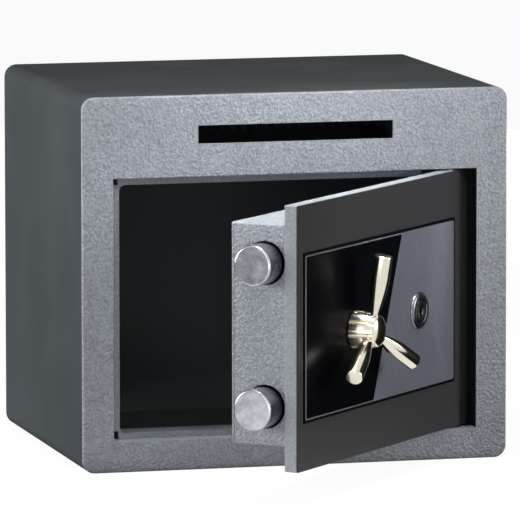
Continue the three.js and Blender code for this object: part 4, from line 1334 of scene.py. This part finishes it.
@dataclass
class LockPanel:
    """The silver plate with its polished black field, lock ring and key barrel."""

    outline: Sides = (-136, 121, 66, 194)
    proud: float = 1.2
    sunk: float = 1.2
    corner: float = 2
    groove: float = 2.4
    rim: float = 1
    gloss_depth: float = 1.5
    split_top: float = 92
    split_bottom: float = 142
    ring_height: float = 2.4
    ring_radius: float = 15
    ring_curve: tuple[Spot, ...] = ((9.9, 0), (12.6, 0), (13.4, 0.25), (14.3, 0.9), (14.85, 1.7))
    barrel_set: float = 0.5
    barrel_radius: float = 9
    barrel_end: float = 21
    cone: float = 0.6
    keyway: tuple[Sides, ...] = ((-1.3, 1.3, -4.5, 4.5), (-0.4, 2.3, -4.5, -2.1))
    keyway_deep: float = 10
    pin_radius: float = 1.5
    pin_off: float = 4.5
    pin_end: float = 26.6

    def crown(self) -> float:
        """How far forward the lock ring reaches."""
        return -self.proud - FIT - self.ring_height

    def field_outline(self, inset: float, start: float, end: float) -> bmesh.types.BMesh:
        """The black field's four-sided outline between two depths.

        Args:
            inset: how far inside the pocket it lies, in millimetres.
            start: the front of the field.
            end: its back.

        Returns:
            The closed shape.
        """
        x0, x1, z0, z1 = self.outline
        z_low, z_high = z0 + self.rim + inset, z1 - self.rim - inset

        def split(z: float) -> float:
            """Where the slanted edge lies at a height."""
            share = (z - z0) / (z1 - z0)
            return x1 - self.split_bottom + (self.split_bottom - self.split_top) * share - inset

        left = x0 + self.rim + inset
        bm = bmesh.new()
        ring = [(left, z_low), (split(z_low), z_low), (split(z_high), z_high), (left, z_high)]
        face = bm.faces.new([bm.verts.new((x * MM, start * MM, z * MM)) for x, z in ring])
        made = bmesh.ops.extrude_face_region(bm, geom=[face])
        moved = [v for v in made["geom"] if isinstance(v, bmesh.types.BMVert)]
        bmesh.ops.translate(bm, verts=moved, vec=(0, (end - start) * MM, 0))
        bmesh.ops.recalc_face_normals(bm, faces=bm.faces)
        return bm

    def base(self) -> Piece:
        """The silver plate with the pocket for the black field.

        Returns:
            The piece.
        """
        x0, x1, z0, z1 = self.outline
        shape = block((x0, -self.proud, z0), (x1, self.sunk, z1))
        bevelled(shape, runs_along(Axis.Y), self.corner, 5)
        bevelled(shape, lies_at(Axis.Y, -self.proud), 0.4, 3)
        cuts = [
            self.field_outline(0, -OVER, -self.proud + self.gloss_depth + FIT),
            rod(SPINDLE_BORE, -OVER, OVER, Axis.Y, SPINDLE),
            rod(BARREL_BORE, -OVER, OVER, Axis.Y, LOCK),
        ]
        shape = combined(shape, cuts)
        return Piece("silver_plate", shape, DOOR, PANEL_SILVER, ("escutcheon_base",), edge=0.15)

    def gasket(self) -> Piece:
        """The black rubber that fills the groove round the silver plate; its matte near black is
        painted shade for the groove's shadow line.

        Returns:
            The piece.
        """
        x0, x1, z0, z1 = self.outline
        out, front = self.groove - FIT, 0.2 - self.proud
        shape = block((x0 - out, front, z0 - out), (x1 + out, self.sunk, z1 + out))
        hole = block((x0 - FIT, -OVER, z0 - FIT), (x1 + FIT, OVER, z1 + FIT))
        bevelled(hole, runs_along(Axis.Y), self.corner + FIT, 5)
        shape = combined(shape, [hole])
        return Piece("rubber_gasket", shape, DOOR, SHADOW_LINE_RUBBER, ("panel_gasket",), edge=0.25)

    def field(self) -> Piece:
        """The polished black field, cut on a slant beside the lock.

        Returns:
            The piece.
        """
        shape = self.field_outline(FIT, -self.proud, -self.proud + self.gloss_depth)
        hole = rod(SPINDLE_BORE, -OVER, OVER, Axis.Y, SPINDLE)
        shape = combined(shape, [hole])
        return Piece("black_field", shape, DOOR, BLACK_GLOSS, ("gloss_panel",), edge=0.2)

    def ring(self) -> Piece:
        """The raised ring round the key barrel.

        Returns:
            The piece.
        """
        seat, crown = -self.proud - FIT, self.crown()
        profile = [(BARREL_BORE, seat), (BARREL_BORE, crown + self.barrel_set)]
        profile += [(radius, crown + drop) for radius, drop in self.ring_curve]
        profile += [(self.ring_radius, seat), (BARREL_BORE, seat)]
        shape = turned(profile, Axis.Y, LOCK, 96)
        return Piece("lock_ring", shape, DOOR, LOCK_CHROME, ("lock_rosette",))

    def barrel(self) -> Piece:
        """The key barrel with its keyway, the shallow cone round it and the cam's pin.

        Returns:
            The piece.
        """
        face, rim, end = self.crown() + self.barrel_set, self.barrel_radius, self.barrel_end
        sunk = face + self.cone
        profile = [(0, sunk), (3.4, sunk), (4.6, face), (rim - 0.6, face)]
        profile += [(rim, sunk), (rim, end), (0, end)]
        x, _, z = LOCK
        cuts = [
            block((x + left, face - 3, z + low), (x + right, face + self.keyway_deep, z + high))
            for left, right, low, high in self.keyway
        ]
        shape = combined(turned(profile, Axis.Y, LOCK, 72), cuts)
        pin_at = (x + self.pin_off, 0, z - self.pin_off)
        pin = rod(self.pin_radius, end - 1, self.pin_end, Axis.Y, pin_at, 24)
        shape = combined(shape, [pin], "UNION")
        place = DOOR.on("key_barrel")
        return Piece("key_barrel", shape, place, LOCK_CHROME, ("key_plug",), edge=0.12)

    def build(self) -> list[Piece]:
        """Every piece of the lock panel."""
        return [self.base(), self.gasket(), self.field(), self.ring(), self.barrel()]


# Handle and bolts


@dataclass
class Handle:
    """The hub and its three club-ended spokes."""

    front: float = -1.5
    radius: float = 16.2
    end_radius: float = 12.4
    height: float = 18.4
    dome: float = 4
    hub_steps: int = 14
    bore: float = 5.3
    bore_deep: float = 12.3
    screw_bore: float = 2.8
    screw_back: float = 6
    lobes: int = 9
    flute_radius: float = 1.6
    flute_deep: float = 1
    spokes: int = 3
    root_radius: float = 3.4
    root_sunk: float = 4
    club_radius: float = 7.4
    tip_radius: float = 7.2
    nose: float = 2
    reach: float = 60
    rise: float = 23.4
    root_rise: float = 15.5
    swell: float = 0.62
    swell_steps: int = 18

    def taper(self) -> float:
        """How fast the hub narrows along its height."""
        return (self.radius - self.end_radius) / self.height

    def about(self, turns: float) -> Matrix:
        """A turn about the spindle from the top, in whole turns."""
        turn = Matrix.Rotation(2 * math.pi * turns, 4, "Y")
        return Matrix.Translation(Vector(SPINDLE) * MM) @ turn

    def hub(self) -> Piece:
        """The tapered hub with flutes down its side and a domed end.

        Returns:
            The piece.
        """
        front, rim = self.front, self.radius
        outer = front - self.height
        profile = [(0, front), (rim - 0.6, front), (rim, front - 0.6)]
        for i in range(1, self.hub_steps):
            share = i / self.hub_steps
            radius = rim - (rim - self.end_radius) * share**2
            profile.append((radius, front - self.height * share))
        profile += quarter((0, outer), self.end_radius, -self.dome, self.hub_steps)
        shape = turned(profile, Axis.Y, SPINDLE, 144)
        x, _, z = SPINDLE
        cuts = [
            rod(self.bore, front - self.bore_deep, 3, Axis.Y, SPINDLE),
            rod(self.screw_bore, -rim - 2, -4, Axis.Z, (x, front - self.screw_back, z), 32),
            *(self.flute(i) for i in range(self.lobes)),
        ]
        shape = combined(shape, cuts)
        return Piece("hub", shape, DOOR.on("handle"), CHROME, ("handle_hub",), edge=0.35)

    def flute(self, index: int) -> bmesh.types.BMesh:
        """The cutter of one flute, tilted to follow the hub's taper.

        Args:
            index: its number, counted clockwise from the top spoke.

        Returns:
            The cutter.
        """
        groove = rod(self.flute_radius, -self.height, self.height, Axis.Y, (0, 0, 0), 28)
        tilt = Matrix.Rotation(math.atan(self.taper()), 4, "X")
        middle = (self.radius + self.end_radius) / 2 + self.flute_radius - self.flute_deep
        lift = Matrix.Translation((0, (self.front - self.height / 2) * MM, middle * MM))
        turn = self.about((index + 0.5) / self.lobes)
        bmesh.ops.transform(groove, matrix=turn @ lift @ tilt, verts=groove.verts)
        return groove

    def spoke(self, index: int) -> Piece:
        """One spoke, thin at the hub and swelling to its club.

        Args:
            index: its number, counted clockwise from the top.

        Returns:
            The spoke.
        """
        rise = self.rise - self.root_rise
        root = self.radius - self.taper() * self.root_rise
        run = self.reach - root
        length = math.hypot(rise, run)
        profile = [(0, -self.root_sunk), (self.root_radius, -self.root_sunk), (self.root_radius, 0)]
        for i in range(1, self.swell_steps + 1):
            share = i / self.swell_steps
            gain = (self.club_radius - self.root_radius) * math.sin(math.pi / 2 * share)
            profile.append((self.root_radius + gain, length * self.swell * share))
        profile.append(((self.club_radius + self.tip_radius) / 2, length * (self.swell + 1) / 2))
        k = self.nose
        profile += quarter((self.tip_radius - k, length - k), k, k, 8)
        profile.append((0, length + 0.5))
        shape = turned(profile, Axis.Z, (0, 0, 0), 72)
        lean = Matrix.Rotation(math.atan2(rise, run), 4, "X")
        start = Matrix.Translation((0, (self.front - self.root_rise) * MM, root * MM))
        turn = self.about(index / self.spokes)
        bmesh.ops.transform(shape, matrix=turn @ start @ lean, verts=shape.verts)
        replaced = (f"handle_spoke_{index + 1}",)
        return Piece(f"club_spoke_{index + 1}", shape, DOOR.on("handle"), CHROME, replaced)

    def build(self) -> list[Piece]:
        """Every new piece of the handle."""
        return [self.hub(), *(self.spoke(i) for i in range(self.spokes))]


@dataclass
class LiveBolt:
    """A round bolt with a turned end."""

    name: str
    level: float
    tip: float = -154.5
    length: float = 68
    radius: float = 16
    chamfer: float = 1.6
    flat: float = 1.4
    screw_bore: float = 2.8
    screw_deep: float = 12

    def build(self) -> list[Piece]:
        """The bolt with its chamfered end and the bore for its screw.

        Returns:
            The bolt alone, in a list.
        """
        end = self.tip + self.length
        r, k = self.radius, self.chamfer
        profile = [(0, self.tip), (r - k - self.flat, self.tip)]
        profile += reversed(quarter((r - k, self.tip + k), k, -k, 6))
        profile += [(r, self.tip + k + 1), (r, end - 0.6), (r - 0.6, end), (0, end)]
        centre = (0, BOLT_Y, self.level)
        bore = rod(self.screw_bore, end - self.screw_deep, end + OVER, Axis.X, centre, 32)
        shape = combined(turned(profile, Axis.X, centre, 128), [bore])
        replaced = (f"{self.name}_bolt",)
        return [Piece(f"{self.name}_live_bolt", shape, DOOR.on("bolts"), BOLT_CHROME, replaced)]


# Finishes for the CAD nodes that stay


class NodeDress:
    """Gives each CAD node that is still shown its finish."""

    usual = (
        BODY_PAINT, HAMMER_PAINT, FASCIA_PAINT, PANEL_SILVER, BLACK_GLOSS, CHROME, ZINC,
        PLAIN_STEEL, BRASS, BLACK_PLASTIC, MAT_FELT,
    )
    special: dict[str, Finish] = {
        "deposit_chute": DARK_STEEL,
        "anti_fish_comb": COMB_STEEL,
        "thrust_washer": OILED_BRONZE,
    }

    def apply(self, nodes: dict[str, bpy.types.Object]) -> None:
        """Assigns each node its special finish, or the usual one of its slot.

        Args:
            nodes: the CAD nodes by name.
        """
        slots = {row["node"]: row["material_slot"] for row in frame["record"]["subparts"]}
        by_slot = {finish.slot: finish for finish in self.usual}
        for name, node in nodes.items():
            finish = self.special.get(name, by_slot[slots[name]])
            if not node.material_slots:
                node.data.materials.append(finish.material())
            for holder in node.material_slots:
                holder.material = finish.material()


# Studio


def aimed(at: Point, target: Point, axis: str) -> Matrix:
    """A place from which an axis of an object points at a target."""
    aim = (Vector(target) - Vector(at)).to_track_quat(axis, "Y")
    return Matrix.Translation(at) @ aim.to_matrix().to_4x4()


@dataclass(frozen=True)
class Lamp:
    """A soft rectangular lamp: place, target, size in metres, power and beam.

    The spread is the beam's angle in degrees, and glints says whether gloss reflects it.
    """

    name: str
    at: Point
    target: Point
    size: Spot
    watts: float
    spread: float = 180
    glints: bool = True

    def add(self) -> None:
        """Hangs the lamp in the scene."""
        data = bpy.data.lights.new(self.name, "AREA")
        data.shape = "RECTANGLE"
        data.size, data.size_y = self.size
        data.energy = self.watts
        data.spread = math.radians(self.spread)
        lamp = linked(self.name, data)
        lamp.matrix_world = aimed(self.at, self.target, "-Z")
        lamp.visible_camera = False
        lamp.visible_glossy = self.glints


@dataclass(frozen=True)
class Card:
    """A flat card of one grey that only reflections see, as a studio uses to shape metal."""

    name: str
    at: Point
    target: Point
    size: Spot
    level: float

    def add(self) -> None:
        """Stands the card in the scene."""
        bm = bmesh.new()
        wide, high = self.size
        place = aimed(self.at, self.target, "Z") @ Matrix.Diagonal((wide / 2, high / 2, 1, 1))
        bmesh.ops.create_grid(bm, x_segments=1, y_segments=1, size=1.0, matrix=place)
        mesh = meshed(self.name, bm)
        material = bpy.data.materials.new(self.name)
        tree = Tree.of(material)
        glow = tree.add("Emission", Color=grey(self.level), Strength=1.0)
        tree.end("OutputMaterial", glow.outputs[0])
        mesh.materials.append(material)
        card = linked(self.name, mesh)
        card.visible_camera = False
        card.visible_diffuse = False
        card.visible_shadow = False
        card.visible_transmission = False


LAMPS = (
    Lamp("band", (0.0, -0.7, 0.7), (0.0, -0.14, 0.28), (0.4, 0.1), 0.185, 35),
    Lamp("beam", (-0.01, -0.27, 0.75), (-0.01, -0.27, 0.2), (0.34, 0.2), 0.4, 30),
    Lamp("low", (-0.6, -1.5, 0.07), (0, -0.1, 0.15), (0.5, 0.12), 2.7),
    Lamp("top", (0.0, -0.35, 1.25), (0, -0.1, 0.2), (0.5, 0.3), 1.4),
    Lamp("side", (-1.8, 0.2, 0.5), (0, 0, 0.15), (0.9, 0.7), 18),
    Lamp("side_back", (-1.8, 0.9, 0.5), (0, 0, 0.15), (0.9, 0.7), 16),
    Lamp("fill", (1.9, -0.9, 0.6), (0, -0.1, 0.15), (0.8, 0.8), 16.5),
    Lamp("rear", (0.9, 2.2, 0.2), (0, 0.14, 0.15), (0.8, 0.3), 14, glints=False),
)
CARDS = (
    Card("right_flag", (0.75, 0.1, 0.35), (0.05, -0.1, 0.35), (0.9, 0.9), 0.01),
    Card("right_floor_flag", (1.0, 0.1, 0.0003), (1.0, 0.1, 1), (1.7, 0.9), 0.01),
    Card("rear_flag", (0, 1.1, 2.0), (0, 0, 2.0), (6.4, 4.0), 0.05),
    Card("floor_flag", (0, 0.6, 0.0002), (0, 0.6, 1), (4.4, 1.5), 0.05),
    Card("bolt_flag", (-0.365, -0.4, 0.21), (-0.084, -0.3, 0.21), (0.22, 0.24), 0.42),
    Card("glow_card", (-0.85, -1.0, 0.3), (0, -0.28, 0.15), (0.5, 0.6), 2.2),
    Card("left_card", (-1.8, -0.8, 0.0003), (-1.8, -0.8, 1), (1.6, 1.8), 0.15),
)


@dataclass
class Studio:
    """The pale floor, the soft lamps, the dark cards and the camera."""

    yaw: float = 0.25584986513623886
    pitch: float = 0.1262738363191638
    roll: float = -0.0007687
    distance: float = 5.6523
    aim: Point = (-0.029738, FRONT_Y, 0.166652)
    focal_pixels: float = 7104.28
    frame_pixels: float = 520.0
    sensor: float = 36.0
    clip: Spot = (0.1, 200.0)
    floor_half: float = 60.0
    floor_drop: float = 0.0005
    floor_shade: float = 0.13
    floor_glow: float = 0.93
    world_fill: float = 0.15

    def camera(self) -> None:
        """Places the camera at the photograph's viewing angle."""
        cy, sy = math.cos(self.yaw), math.sin(self.yaw)
        cp, sp = math.cos(self.pitch), math.sin(self.pitch)
        ahead = Vector((sy * cp, cy * cp, -sp))
        right = Vector((cy, -sy, 0))
        up = right.cross(ahead)
        across = math.cos(self.roll) * right + math.sin(self.roll) * up
        above = -math.sin(self.roll) * right + math.cos(self.roll) * up
        data = bpy.data.cameras.new("camera")
        data.sensor_width = self.sensor
        data.lens = self.focal_pixels / self.frame_pixels * self.sensor
        data.clip_start, data.clip_end = self.clip
        camera = linked("camera", data)
        turn = Matrix((across, above, -ahead)).transposed().to_4x4()
        camera.matrix_world = Matrix.Translation(Vector(self.aim) - ahead * self.distance) @ turn
        bpy.context.scene.camera = camera

    def floor(self) -> None:
        """A wide pale floor that keeps the safe's shadow."""
        bm = bmesh.new()
        place = Matrix.Translation((0, 0, -self.floor_drop))
        bmesh.ops.create_grid(bm, x_segments=1, y_segments=1, size=self.floor_half, matrix=place)
        mesh = meshed("studio_floor", bm)
        material = bpy.data.materials.new("studio_floor")
        tree = Tree.of(material)
        sight = tree.add("LightPath").outputs
        seen = tree.maths("MAXIMUM", sight["Is Camera Ray"], sight["Is Glossy Ray"])
        nothing = tree.add("Emission", Color=grey(0), Strength=0.0).outputs[0]
        glow = tree.add("Emission", Color=grey(1), Strength=self.floor_glow).outputs[0]
        both = tree.add("AddShader")
        tree.feed(both.inputs[0], tree.add("BsdfDiffuse", Color=grey(self.floor_shade)).outputs[0])
        tree.feed(both.inputs[1], tree.mix(seen, nothing, glow))
        tree.end("OutputMaterial", both.outputs[0])
        mesh.materials.append(material)
        linked("studio_floor", mesh)

    def world(self) -> None:
        """A white backdrop for the camera and gloss, and a plainer light for the rest."""
        world = bpy.data.worlds.new("studio")
        bpy.context.scene.world = world
        tree = Tree.of(world)
        sight = tree.add("LightPath").outputs
        seen = tree.maths("MAXIMUM", sight["Is Camera Ray"], sight["Is Transmission Ray"])
        seen = tree.maths("MAXIMUM", seen, sight["Is Glossy Ray"])
        fill = tree.add("Background", Color=grey(1), Strength=self.world_fill).outputs[0]
        white = tree.add("Background", Color=grey(1), Strength=1.0).outputs[0]
        tree.end("OutputWorld", tree.mix(seen, fill, white))

    def build(self) -> None:
        """Sets up the whole studio."""
        bpy.context.scene.view_settings.view_transform = "Standard"
        self.camera()
        self.floor()
        self.world()
        for thing in (*LAMPS, *CARDS):
            thing.add()


def main() -> None:
    """Builds the safe sub-assembly by sub-assembly and the studio round it."""
    logging.basicConfig(level=logging.INFO, format="%(message)s")
    NodeDress().apply(frame["nodes"])
    bolts = [LiveBolt(name, level) for name, level in BOLT_LEVELS.items()]
    for assembly in (Cabinet(), Door(), Handle(), *bolts):
        for piece in assembly.build():
            piece.add()
    Studio().build()


if __name__ == "__main__":
    main()
